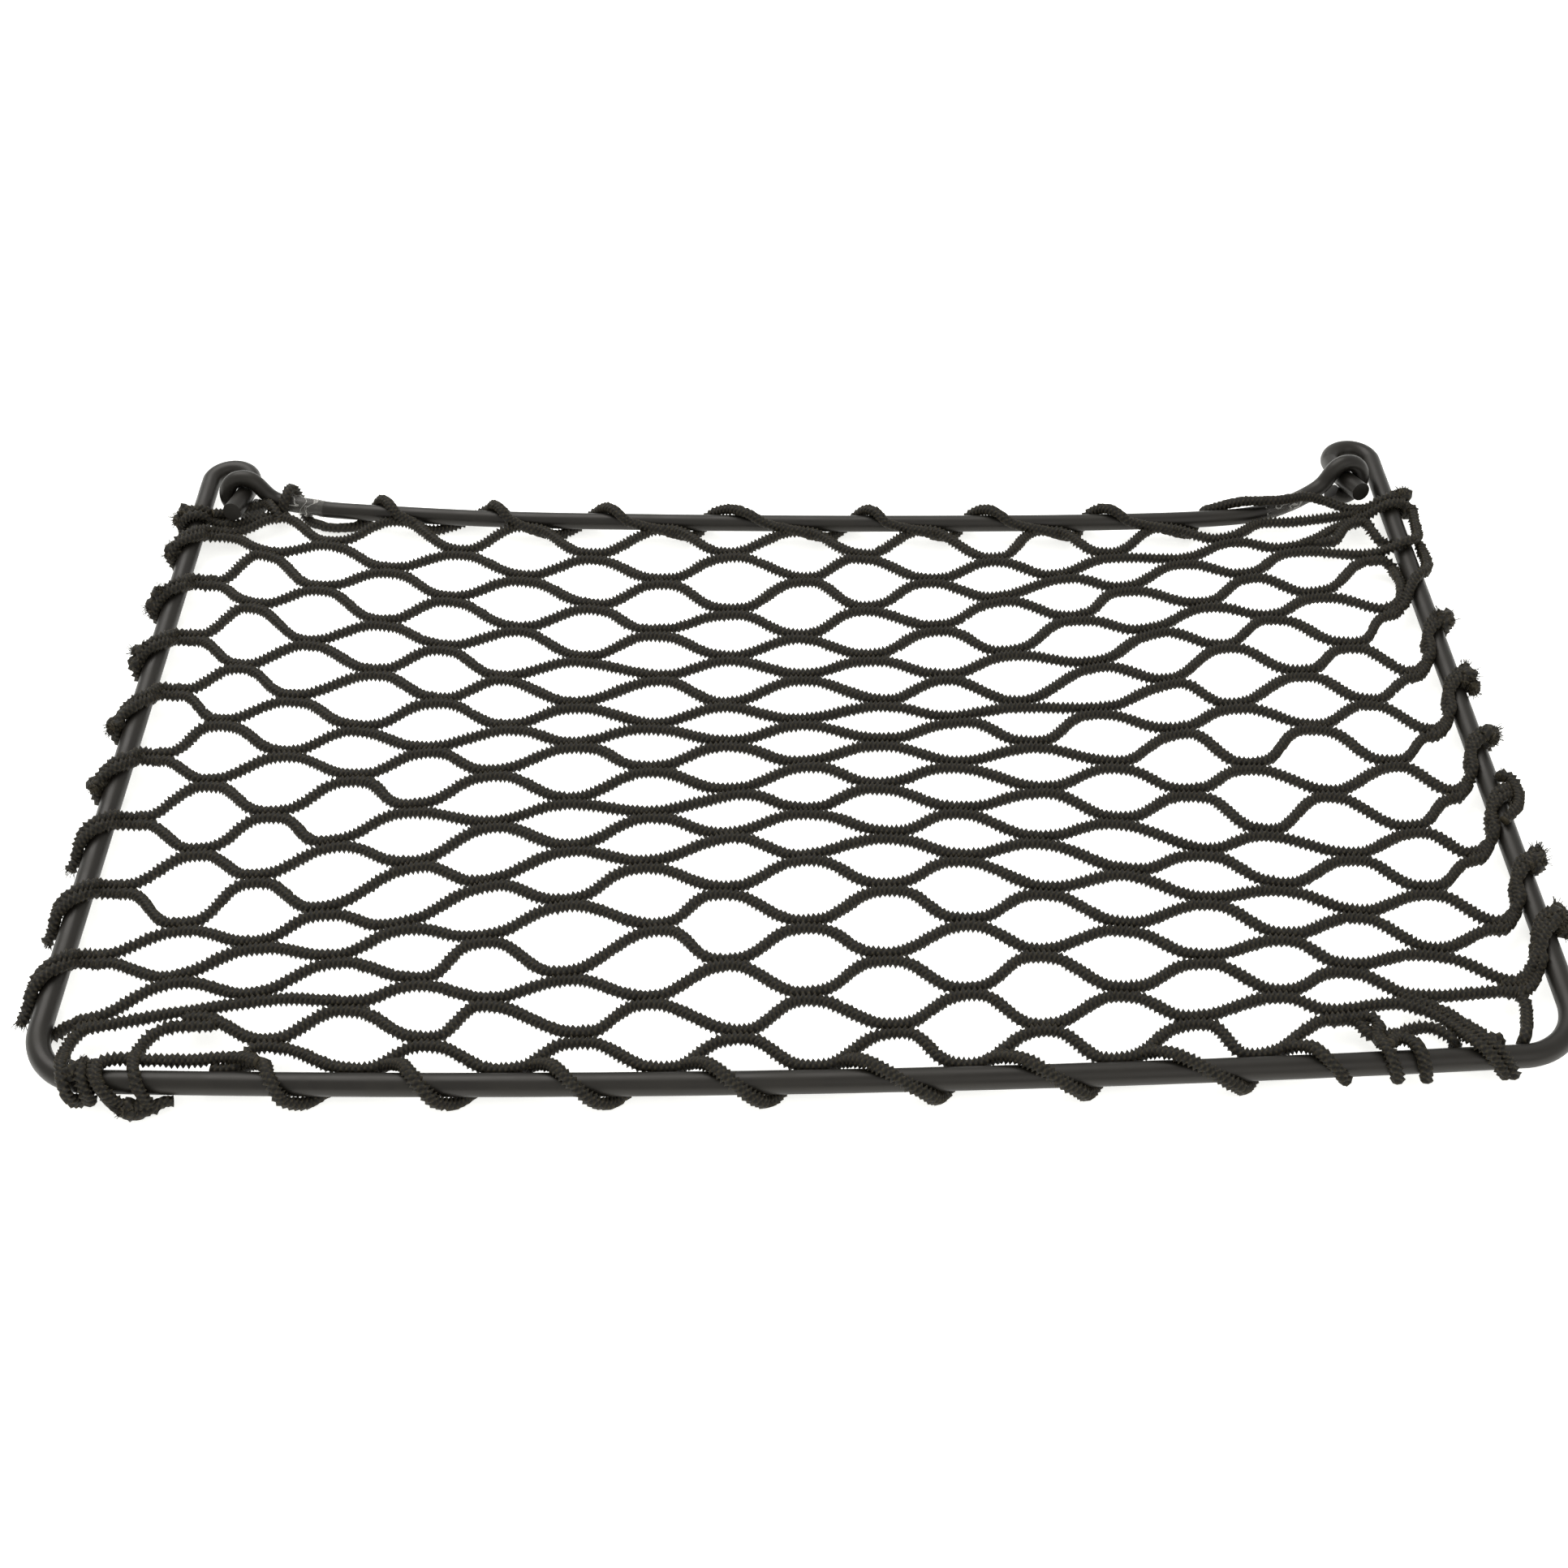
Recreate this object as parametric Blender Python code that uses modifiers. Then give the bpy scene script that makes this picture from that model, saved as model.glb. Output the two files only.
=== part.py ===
# Storage net on a wire frame: a U-shaped steel rod and a hooked-in back bar, with a knotless
# cord net laced between them. Metres, +Z up. Run with: blender --background --python part.py
import math

import bmesh
import bpy
from mathutils import Vector

MM = 0.001

# Frame rod: one length of round steel, bent to a U whose two ends are hooks
FRAME_WIDTH = 400 * MM           # between the centrelines of the two side rods
FRAME_ROD_RADIUS = 3.1 * MM      # 6 mm steel with its powder coat
FRONT_CORNER_RADIUS = 17 * MM
FRONT_BOW = 4 * MM               # the front rod bows out this far in its middle
HOOK_RADIUS = 7 * MM             # of the half turn at the back of each side rod
HOOK_CENTRE_Y = 250.8 * MM       # behind the line of the front corners

# Back bar: a thinner rod that ends in a round eye at each hook
BAR_ROD_RADIUS = 2.75 * MM
EYE_RADIUS = 6.25 * MM
EYE_START = 135                  # degrees in the eye's own plane, where the bar runs into it
EYE_END = -141                   # where its cut end stops, just clear of the bar
EYE_LEAD = 9 * MM                # straight run of the bar before the eye
LEFT_EYE_Y = 240 * MM
RIGHT_EYE_Y = 236.5 * MM

# Cord, and how it sits
CORD = 3.1 * MM                  # diameter
CLEARANCE = 0.3 * MM             # between neighbouring pieces
FLAT = 0.3 * MM                  # what the cords under the rods are pressed flat by
NET_THICKNESS = 2.8 * MM
NET_HALF_WIDTH = 192.8 * MM
NET_SAG = 1.2 * MM
CONTACT = 2.6 * MM               # half the length over which two strands lie side by side
EDGE_CONTACT = 8 * MM            # the same, whole, where a pair of strands meets a side rod

# Heights above the surface that the part lies on
FRAME_Z = CORD + CLEARANCE + FRAME_ROD_RADIUS - FLAT
BAR_Z = CORD + CLEARANCE + BAR_ROD_RADIUS - FLAT
PLAN_MIDDLE_Y = 125.1 * MM       # puts the origin under the middle of the part

# Net: strands run from side to side, and touch the strand behind and in front by turns
STRANDS = 20
LAST_COLUMN = 9                  # columns of junctions run from -9, at the left rod, to 9
FRONT_PINCH = 0.13               # share by which the columns draw in at the front rod
BACK_PINCH = 0.08                # the same at the right end of the back bar
PINCH_START_LEVEL = 12
BACK_PINCH_LEVELS = 6.5
SHORT_STRANDS = (19, 20)         # these stop a column early, at the frame's round corners
STATION_X = dict(far_left=-190, left=-132, mid_left=-65, middle=2,
                 mid_right=67, right=132, far_right=190)
COLUMN_X = {-9: -193.2, -5: -111, 0: 2, 5: 113, 9: 193.2}

# A row for each line of junctions from back to front: its distance behind the front
# corners, in millimetres, at each of the seven stations across the frame
LEVELS = [
    dict(far_left=231, left=230, mid_left=226, middle=222,
         mid_right=221, right=220.3, far_right=219.5),
    dict(far_left=222, left=213.2, mid_left=207, middle=205.7,
         mid_right=201.5, right=206.8, far_right=221),
    dict(far_left=216, left=202, mid_left=195, middle=193.5,
         mid_right=191.8, right=200.5, far_right=208),
    dict(far_left=197, left=190, mid_left=182.5, middle=179,
         mid_right=182.5, right=189.2, far_right=200),
    dict(far_left=188, left=177, mid_left=170.5, middle=167,
         mid_right=170.8, right=178.5, far_right=182.5),
    dict(far_left=170, left=165.8, mid_left=158, middle=157,
         mid_right=156.5, right=169.5, far_right=172),
    dict(far_left=157, left=153, mid_left=148.8, middle=147.5,
         mid_right=148.2, right=157.5, far_right=157),
    dict(far_left=145, left=140.8, mid_left=137.5, middle=136.5,
         mid_right=134, right=145, far_right=143),
    dict(far_left=133, left=128, mid_left=128.2, middle=127.5,
         mid_right=128.8, right=132, far_right=130),
    dict(far_left=117, left=118, mid_left=119.5, middle=119.5,
         mid_right=117, right=122, far_right=117.5),
    dict(far_left=105, left=107.5, mid_left=109.2, middle=110.5,
         mid_right=109, right=105.5, far_right=106.5),
    dict(far_left=91, left=94.8, mid_left=97, middle=101.2,
         mid_right=98, right=95, far_right=92.5),
    dict(far_left=77, left=82, mid_left=90, middle=91.5,
         mid_right=89.5, right=79, far_right=78.5),
    dict(far_left=65, left=69.5, mid_left=78.5, middle=82.2,
         mid_right=78.5, right=70.5, far_right=68.5),
    dict(far_left=49, left=56, mid_left=69.5, middle=73,
         mid_right=69.8, right=58.5, far_right=55),
    dict(far_left=40, left=46, mid_left=58.5, middle=61.8,
         mid_right=59.5, right=50.5, far_right=43),
    dict(far_left=28, left=38.5, mid_left=46.8, middle=48.5,
         mid_right=47.2, right=41.5, far_right=31),
    dict(far_left=18, left=29.2, mid_left=32, middle=37,
         mid_right=36.5, right=32, far_right=22),
    dict(far_left=16.5, left=23, mid_left=23, middle=23.5,
         mid_right=23.5, right=21.5, far_right=16),
    dict(far_left=10, left=11, mid_left=11.5, middle=12.2,
         mid_right=12.5, right=13.8, far_right=13),
    dict(far_left=4.5, left=-1, mid_left=-3, middle=-4,
         mid_right=-6, right=1.5, far_right=17),
]

# Clear film round the bar: each sleeve's two ends along it
SLEEVES = dict(sleeve_left=(-173 * MM, -158 * MM), sleeve_right=(158 * MM, 172 * MM))
FILM = 0.5 * MM

# Route of the back bar in plan, in millimetres
BAR_STATIONS = [
    dict(x=-162, y=236.2),
    dict(x=-150, y=233.6),
    dict(x=-100, y=228.0),
    dict(x=-50, y=225.0),
    dict(x=0, y=222.8),
    dict(x=50, y=221.3),
    dict(x=100, y=220.5),
    dict(x=140, y=221.4),
    dict(x=160, y=225.0),
]

# Free end of each hook, its x at the left and at the right: it rises to the front, through
# the bar's eye
HOOK_LEG = [
    dict(left=-186.0, right=186.0, y=250.8, z=6.2),
    dict(left=-185.8, right=186.2, y=244.0, z=7.8),
    dict(left=-186.0, right=187.4, y=236.0, z=9.8),
    dict(left=-187.2, right=190.2, y=226.5, z=12.0),
]

# Lacings: where each turn stands out on the far side of its rod, in millimetres
BACK_BUMPS = (-142, -100, -63, -24, 25, 63, 103, 141)
FRONT_BUMPS = (-132, -92, -55, -15, 29, 67, 107, 135)
LACING_STEP = math.radians(46)   # the widest turn between two of its points

# Where a lacing catches the mesh: distance along the rod in millimetres, turn round the rod
# in degrees from the net's side, and how far out it bulges round the net's outer strand
CATCH = [
    dict(along=-9.0, turn=-47, out=0.5),
    dict(along=-5.5, turn=-33, out=2.4),
    dict(along=-2.5, turn=-20, out=3.4),
    dict(along=0, turn=0, out=3.9),
    dict(along=2.5, turn=20, out=3.4),
    dict(along=5.5, turn=33, out=2.4),
    dict(along=9.0, turn=47, out=0.5),
]

# Side hitches: a pair of cords leaves the net, winds over a side rod and ends under it. In
# millimetres: how far it runs along the rod meanwhile, and where it starts at the net
SIDE_HITCHES = [
    dict(name="hitch_left_side", side=-1, lead=-17, cords=1.8,
         starts=(221.5, 198, 170, 145, 118, 92, 65.5, 40.5)),
    dict(name="hitch_right_side", side=1, lead=6, cords=1.8,
         starts=(219.5, 199.5, 172, 147.5, 120, 93, 70, 44)),
]
HOOK_HITCHES = [                 # one more by each hook, where the net's first strand ends
    dict(name="hitch_left_side_9", side=-1, y=231.5, lead=-4),
    dict(name="hitch_right_side_9", side=1, y=231, lead=4),
]
SIDE_TURN = math.radians(300)
HITCH_STEPS = 10

# Loose cord ends that are hitched over the front rod beside its corners: place along the
# rod and length of the cut end that hangs, in millimetres
FRONT_HITCHES = [
    dict(name="hitch_left_1", x=-184, tail=1.5),
    dict(name="hitch_left_2", x=-174, tail=2.5),
    dict(name="hitch_right_1", x=149, tail=2.5),
    dict(name="hitch_right_2", x=158, tail=3.0),
    dict(name="hitch_right_3", x=176, tail=3.5),
]
FRONT_TURN = math.radians(-340)
FRONT_LEAD = 3.6 * MM

# Legs of the net at the front corners: they turn down to the rod beside the short strands
LEFT_TURN = [dict(x=-171.5, y=15.0), dict(x=-173.2, y=10.9), dict(x=-168.5, y=8.4)]
RIGHT_TURN = [dict(x=171.5, y=15.5), dict(x=173.0, y=11.2), dict(x=168.5, y=9.4)]
CORNER_DROP = [dict(x=190.0, y=13.0), dict(x=188.0, y=9.6)]

PARTS = "Framed storage net"


def clear_scene():
    for obj in list(bpy.data.objects):
        bpy.data.objects.remove(obj)
    parts = bpy.data.collections.new(PARTS)
    bpy.context.scene.collection.children.link(parts)


def plan(x, y, z):
    return Vector((x, y - PLAN_MIDDLE_Y, z))


def finish(name, color, roughness, metallic=0.0, alpha=1.0):
    material = bpy.data.materials.new(name)
    material.use_nodes = True
    shader = material.node_tree.nodes["Principled BSDF"]
    shader.inputs["Base Color"].default_value = (*color, 1.0)
    shader.inputs["Roughness"].default_value = roughness
    shader.inputs["Metallic"].default_value = metallic
    shader.inputs["Alpha"].default_value = alpha
    return material


def cord_finish(name):
    return finish(name, (0.018, 0.016, 0.012), 0.85)


def add_object(name, data, material):
    obj = bpy.data.objects.new(name, data)
    data.materials.append(material)
    bpy.data.collections[PARTS].objects.link(obj)
    return obj


def smooth_route(points, steps):
    """Points on a smooth curve through the given ones, with this many steps to each gap."""
    ends = [2 * points[0] - points[1], *points, 2 * points[-1] - points[-2]]
    route = []
    for a, b, c, d in zip(ends, ends[1:], ends[2:], ends[3:]):
        for i in range(steps):
            t = i / steps
            route.append(0.5 * (2 * b + (c - a) * t + (2 * a - 5 * b + 4 * c - d) * t ** 2
                                + (3 * b - a - 3 * c + d) * t ** 3))
    return route + [points[-1]]


def rod(name, route, radius, resolution, material):
    """A round rod or cord along a route, closed at both ends."""
    curve = bpy.data.curves.new(name, "CURVE")
    curve.dimensions = "3D"
    curve.bevel_depth = radius
    curve.bevel_resolution = resolution
    curve.use_fill_caps = True
    spline = curve.splines.new("POLY")
    spline.points.add(len(route) - 1)
    for point, place in zip(spline.points, route):
        point.co = (*place, 1.0)
    return add_object(name, curve, material)


def to_mesh(obj):
    """The evaluated object as a mesh with its caps welded."""
    evaluated = obj.evaluated_get(bpy.context.evaluated_depsgraph_get())
    mesh = bpy.data.meshes.new_from_object(evaluated)
    bm = bmesh.new()
    bm.from_mesh(mesh)
    bmesh.ops.remove_doubles(bm, verts=bm.verts, dist=0.00001)
    bm.to_mesh(mesh)
    bm.free()
    name = obj.name
    place = obj.matrix_world.copy()
    bpy.data.objects.remove(obj)
    mesh_obj = bpy.data.objects.new(name, mesh)
    mesh_obj.matrix_world = place
    bpy.data.collections[PARTS].objects.link(mesh_obj)
    return mesh_obj


def press_flat(obj):
    """Cuts off what lies below the surface, so that the piece rests on a true flat."""
    bm = bmesh.new()
    bm.from_mesh(obj.data)
    everything = bm.verts[:] + bm.edges[:] + bm.faces[:]
    bmesh.ops.bisect_plane(bm, geom=everything, dist=0.000001, plane_co=(0, 0, 0),
                           plane_no=(0, 0, 1), clear_inner=True)
    rim = [edge for edge in bm.edges if edge.is_boundary]
    bmesh.ops.holes_fill(bm, edges=rim, sides=0)
    bmesh.ops.recalc_face_normals(bm, faces=bm.faces)
    bm.to_mesh(obj.data)
    bm.free()


def shade_round(obj):
    obj.data.shade_smooth()
    obj.data.set_sharp_from_angle(angle=math.radians(60))


def front_rod_y(x):
    half_span = FRAME_WIDTH / 2 - FRONT_CORNER_RADIUS
    share = min(abs(x) / half_span, 1.0)
    return -FRONT_BOW * (1 - share ** 2)


def hook_leg(side):
    x = "left" if side < 0 else "right"
    points = [plan(row[x] * MM, row["y"] * MM, row["z"] * MM) for row in HOOK_LEG]
    return smooth_route(points, 3)


def arc(centre, radius, start, end, steps):
    angles = [math.radians(start + (end - start) * i / steps) for i in range(steps + 1)]
    return [centre + radius * Vector((math.cos(a), math.sin(a), 0)) for a in angles]


def half_frame_route(side):
    """From the middle of the front rod round to the end of one hook."""
    corner_x = FRAME_WIDTH / 2 - FRONT_CORNER_RADIUS
    route = []
    for i in range(8):
        x = corner_x * i / 8
        route.append(plan(x, front_rod_y(x), FRAME_Z))
    route += arc(plan(corner_x, FRONT_CORNER_RADIUS, FRAME_Z), FRONT_CORNER_RADIUS, -90, 0, 5)
    hook_x = FRAME_WIDTH / 2 - HOOK_RADIUS
    route += arc(plan(hook_x, HOOK_CENTRE_Y, FRAME_Z), HOOK_RADIUS, 0, 180, 8)[:-1]
    route = [Vector((side * p.x, p.y, p.z)) for p in route]
    return route + hook_leg(side)


def add_frame_rod():
    left = half_frame_route(-1)
    right = half_frame_route(1)
    coat = finish("powder_coated_rod", (0.03, 0.029, 0.026), 0.42)
    rod("frame_rod", left[::-1] + right[1:], FRAME_ROD_RADIUS, 3, coat)


def eye_route(side, eye_y):
    """The bar's round eye about a hook, from the bar to the cut end."""
    leg = hook_leg(side)
    place = plan(0, eye_y, 0).y
    near = min(range(1, len(leg) - 1), key=lambda i: abs(leg[i].y - place))
    axis = (leg[near + 1] - leg[near - 1]).normalized()
    centre = leg[near] + axis * ((place - leg[near].y) / axis.y)
    across = Vector((0, 0, 1)).cross(axis).normalized()
    if across.x * side < 0:
        across = -across
    up = axis.cross(across)
    if up.z < 0:
        up = -up
    steps = 13
    route = []
    for i in range(steps + 1):
        angle = math.radians(EYE_START + (EYE_END - EYE_START) * i / steps)
        route.append(centre + EYE_RADIUS * (math.cos(angle) * across + math.sin(angle) * up))
    lead = route[0] - EYE_LEAD * (across + up).normalized()
    return lead, route


def bar_route():
    """The whole back bar, from the cut end of its left eye to that of its right eye."""
    left_lead, left_eye = eye_route(-1, LEFT_EYE_Y)
    right_lead, right_eye = eye_route(1, RIGHT_EYE_Y)
    middle = [plan(row["x"] * MM, row["y"] * MM, BAR_Z) for row in BAR_STATIONS]
    between = smooth_route([left_eye[0], left_lead, *middle, right_lead, right_eye[0]], 3)
    return left_eye[:0:-1] + between + right_eye[1:]


def at_x(route, x):
    """The point of a route that runs from left to right, where it passes this x."""
    for a, b in zip(route, route[1:]):
        if a.x <= x <= b.x and a.x < b.x:
            return a.lerp(b, (x - a.x) / (b.x - a.x))
    raise ValueError("the route doesn't reach this x")


def bar_plan_y(x):
    reach = BAR_STATIONS[-1]["x"] * MM
    return at_x(bar_route(), max(-reach, min(reach, x))).y + PLAN_MIDDLE_Y


def add_back_bar():
    coat = finish("powder_coated_bar", (0.027, 0.026, 0.023), 0.45)
    rod("back_bar", bar_route(), BAR_ROD_RADIUS, 2, coat)


def add_sleeve(name, start_x, end_x):
    """Clear film wrapped round the bar beside an eye: an open tube with a thin wall."""
    route = bar_route()
    steps = 4
    along = [at_x(route, start_x + (end_x - start_x) * i / steps) for i in range(steps + 1)]
    film = finish(name + "_film", (0.6, 0.6, 0.57), 0.25, alpha=0.35)
    sleeve = rod(name, along, BAR_ROD_RADIUS + 2 * CLEARANCE, 2, film)
    sleeve.data.use_fill_caps = False
    sleeve = to_mesh(sleeve)
    wall = sleeve.modifiers.new("Wall", "SOLIDIFY")
    wall.thickness = FILM
    wall.offset = 1.0


def column_x(column):
    known = sorted(COLUMN_X)
    points = [Vector((c, COLUMN_X[c], 0)) for c in known]
    return at_x(smooth_route(points, 8), column).y * MM


def level_y(level, x):
    points = [Vector((STATION_X[name], LEVELS[level][name], 0)) for name in STATION_X]
    reach = STATION_X["far_right"]
    place = max(-reach, min(reach, x / MM))
    y = at_x(smooth_route(points, 8), place).y * MM
    if level == 0:
        return min(y, bar_plan_y(x) - BAR_ROD_RADIUS - CLEARANCE)
    if level == STRANDS:
        return max(y, front_rod_y(x) + FRAME_ROD_RADIUS + CLEARANCE)
    return y


def junction_x(column, level):
    front = max(0.0, (level - PINCH_START_LEVEL) / (STRANDS - PINCH_START_LEVEL))
    pinch = FRONT_PINCH * front ** 2
    if column > 0:
        pinch += BACK_PINCH * max(0.0, 1 - level / BACK_PINCH_LEVELS)
    return column_x(column) * (1 - pinch)


def net_point(x, y):
    across = min(1.0, abs(x) / NET_HALF_WIDTH)
    middle = LEVELS[10]["middle"] * MM
    along = min(1.0, abs(y - middle) / middle)
    sag = NET_SAG * (1 - across ** 2) * (1 - along ** 2)
    return plan(x, y, FRAME_Z - sag)


def junction_ends(column, level):
    """Both ends of the line where two strands touch."""
    if abs(column) == LAST_COLUMN:
        outer = math.copysign(NET_HALF_WIDTH, column)
        xs = sorted((outer, outer - math.copysign(EDGE_CONTACT, column)))
    else:
        x = junction_x(column, level)
        xs = (x - CONTACT, x + CONTACT)
    return [Vector((x, level_y(level, x))) for x in xs]


def leg_point(start, start_way, end, end_way, t):
    """Place and direction on the curved leg between two junctions."""
    place = ((2 * t ** 3 - 3 * t ** 2 + 1) * start + (t ** 3 - 2 * t ** 2 + t) * start_way
             + (3 * t ** 2 - 2 * t ** 3) * end + (t ** 3 - t ** 2) * end_way)
    way = ((6 * t ** 2 - 6 * t) * start + (3 * t ** 2 - 4 * t + 1) * start_way
           + (6 * t - 6 * t ** 2) * end + (3 * t ** 2 - 2 * t) * end_way)
    return place, way.normalized()


class NetMesh:
    """The net as flat strips, one for each strand, which share their edges at the junctions."""

    def __init__(self):
        self.bm = bmesh.new()
        self.shared = {}

    def vert(self, place):
        return self.bm.verts.new(net_point(place.x, place.y))

    def pair(self, place, way):
        side = Vector((-way.y, way.x)) * CORD / 2
        return self.vert(place + side), self.vert(place - side)

    def junction(self, column, level):
        if (column, level) not in self.shared:
            ends = junction_ends(column, level)
            self.shared[column, level] = [(end, self.vert(end)) for end in ends]
        return self.shared[column, level]

    def strand(self, number):
        """Pairs of corners along one strand, from left to right."""
        reach = LAST_COLUMN - 1 if number in SHORT_STRANDS else LAST_COLUMN
        pairs = []
        last = None
        for column in range(-reach, reach + 1):
            at_crest = (column + number - 1) % 2 == 0
            ends = self.junction(column, number - 1 if at_crest else number)
            way = (ends[1][0] - ends[0][0]).normalized()
            side = Vector((-way.y, way.x)) * CORD
            middles = []
            contact = []
            for place, vert in ends:
                if at_crest:
                    contact.append((vert, self.vert(place - side)))
                    middles.append(place - side / 2)
                else:
                    contact.append((self.vert(place + side), vert))
                    middles.append(place + side / 2)
            if last is not None:
                length = (middles[0] - last[0]).length
                pairs.append(self.pair(*leg_point(
                    last[0], last[1] * length, middles[0], way * length, 0.5)))
            pairs += contact
            last = (middles[1], way)
        self.fill(pairs)
        return pairs

    def fill(self, pairs):
        for (a, b), (c, d) in zip(pairs, pairs[1:]):
            self.bm.faces.new((a, b, d, c))

    def turn(self, start, points, end):
        """A leg from the end of one strand round to the end of another."""
        places = [Vector((row["x"], row["y"])) * MM for row in points]
        pairs = [start]
        for i, place in enumerate(places):
            before = places[max(i - 1, 0)]
            after = places[min(i + 1, len(places) - 1)]
            pairs.append(self.pair(place, (after - before).normalized()))
        if end is not None:
            pairs.append(end)
        self.fill(pairs)


def add_net():
    net = NetMesh()
    strands = [net.strand(number) for number in range(1, STRANDS + 1)]
    upper, lower = strands[SHORT_STRANDS[0] - 1], strands[SHORT_STRANDS[1] - 1]
    net.turn(upper[0][::-1], LEFT_TURN, lower[0])
    net.turn(upper[-1], RIGHT_TURN, lower[-1][::-1])
    edge = strands[SHORT_STRANDS[0] - 2]
    drop_left = [dict(x=-row["x"], y=row["y"]) for row in CORNER_DROP]
    net.turn((edge[1][1], edge[0][1]), drop_left, None)
    net.turn((edge[-1][1], edge[-2][1]), CORNER_DROP, None)
    bmesh.ops.recalc_face_normals(net.bm, faces=net.bm.faces)
    mesh = bpy.data.meshes.new("net")
    net.bm.to_mesh(mesh)
    net.bm.free()
    obj = add_object("net", mesh, cord_finish("net_cord"))
    thickness = obj.modifiers.new("Cord thickness", "SOLIDIFY")
    thickness.thickness = NET_THICKNESS
    thickness.offset = 0.0


def lacing_knots(catches, bumps):
    """Place along the rod, turn and bulge of each point of a lacing, in order."""
    marks = [(catch, 0) for catch in catches] + [(bump * MM, 180) for bump in bumps]
    marks.sort()
    knots = []
    turn = 0
    for (x, kind), (next_x, next_kind) in zip(marks, marks[1:]):
        if kind == 0:
            for row in CATCH:
                knots.append((x + row["along"] * MM, turn + row["turn"], row["out"] * MM))
            x += CATCH[-1]["along"] * MM
        else:
            knots.append((x, turn, 0))
            next_x += CATCH[0]["along"] * MM
        first = 90 if kind == 0 else 45
        for step in (first, first + 45):
            share = (step - first + 45) / 135
            knots.append((x + (next_x - x) * share, turn + step, 0))
        turn += 180
    knots.append((marks[-1][0], turn, 0))
    return knots


def lacing_route(rod_point, rod_radius, knots, first_side):
    """A cord that winds round a rod, and round the net's outer strand at each catch."""
    radius = (rod_radius + CLEARANCE) / math.cos(LACING_STEP / 2) + CORD / 2
    route = []
    for x, turn, out in knots:
        angle = math.radians(first_side + turn)
        outward = Vector((0, -math.sin(angle), math.cos(angle)))
        route.append(rod_point(x) + (radius + out) * outward)
    return route


def add_lacing(name, route):
    lacing = to_mesh(rod(name, route, CORD / 2, 1, cord_finish(name + "_cord")))
    press_flat(lacing)
    shade_round(lacing)


def add_back_lacing():
    route = bar_route()
    catches = [junction_x(column, 0) for column in range(-6, 8, 2)]
    knots = lacing_knots(catches, BACK_BUMPS)
    add_lacing("lacing_back",
               lacing_route(lambda x: at_x(route, x), BAR_ROD_RADIUS, knots, -90))


def add_front_lacing():
    catches = [junction_x(column, STRANDS) for column in range(-8, 8, 2)]
    knots = lacing_knots(catches, FRONT_BUMPS)
    add_lacing("lacing_front",
               lacing_route(lambda x: plan(x, front_rod_y(x), FRAME_Z), FRAME_ROD_RADIUS,
                            knots, -90))


def add_hitch(name, centre, start, along, cords, turn, lead, tail):
    """A cord that winds round a rod from its start side, over the top when turn is positive."""
    bm = bmesh.new()
    inner = (FRAME_ROD_RADIUS + CLEARANCE) / math.cos(turn / HITCH_STEPS / 2)
    section = bmesh.ops.create_circle(bm, cap_ends=True, segments=6, radius=CORD / 2)
    for vert in section["verts"]:
        vert.co = centre + start * (inner + CORD / 2 + vert.co.x) + along * vert.co.y * cords
    turned = bmesh.ops.spin(bm, geom=bm.verts[:] + bm.edges[:] + bm.faces[:], cent=centre,
                            axis=start.cross(Vector((0, 0, 1))), angle=turn,
                            steps=HITCH_STEPS, dvec=along * (lead / HITCH_STEPS))
    if tail > 0:
        end = [item for item in turned["geom_last"] if isinstance(item, bmesh.types.BMFace)]
        pushed = bmesh.ops.extrude_face_region(bm, geom=end)
        bmesh.ops.delete(bm, geom=end, context="FACES_ONLY")
        moved = [item for item in pushed["geom"] if isinstance(item, bmesh.types.BMVert)]
        down = (along - Vector((0, 0, 0.5))).normalized()
        bmesh.ops.translate(bm, verts=moved, vec=down * tail)
    bmesh.ops.recalc_face_normals(bm, faces=bm.faces)
    mesh = bpy.data.meshes.new(name)
    bm.to_mesh(mesh)
    bm.free()
    obj = add_object(name, mesh, cord_finish(name + "_cord"))
    press_flat(obj)
    shade_round(obj)


def add_side_hitch(name, side, y, cords, lead):
    centre = plan(side * FRAME_WIDTH / 2, y * MM, FRAME_Z)
    add_hitch(name, centre, Vector((-side, 0, 0)), Vector((0, 1, 0)), cords, SIDE_TURN,
              lead * MM, 0)


def add_side_hitches():
    for row in SIDE_HITCHES:
        for number, y in enumerate(row["starts"], 1):
            add_side_hitch(f"{row['name']}_{number}", row["side"], y, row["cords"],
                           row["lead"])
    for row in HOOK_HITCHES:
        add_side_hitch(row["name"], row["side"], row["y"], 1, row["lead"])


def add_front_hitches():
    """Cut cord ends, which wind under the rod and back over it, where the tail hangs."""
    for row in FRONT_HITCHES:
        x = row["x"] * MM
        centre = plan(x, front_rod_y(x), FRAME_Z)
        add_hitch(row["name"], centre, Vector((0, -1, 0)), Vector((1, 0, 0)), 1,
                  FRONT_TURN, FRONT_LEAD, row["tail"] * MM)


def build():
    clear_scene()
    add_frame_rod()
    add_back_bar()
    for name, ends in SLEEVES.items():
        add_sleeve(name, *ends)
    add_net()
    add_back_lacing()
    add_front_lacing()
    add_side_hitches()
    add_front_hitches()


build()
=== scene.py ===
# Storage net on a wire frame: powder-coated rods, a braided cord net, its lacings and hitches
import math
import random

import bmesh
import bpy
import numpy as np
from mathutils import Matrix, Vector


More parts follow.
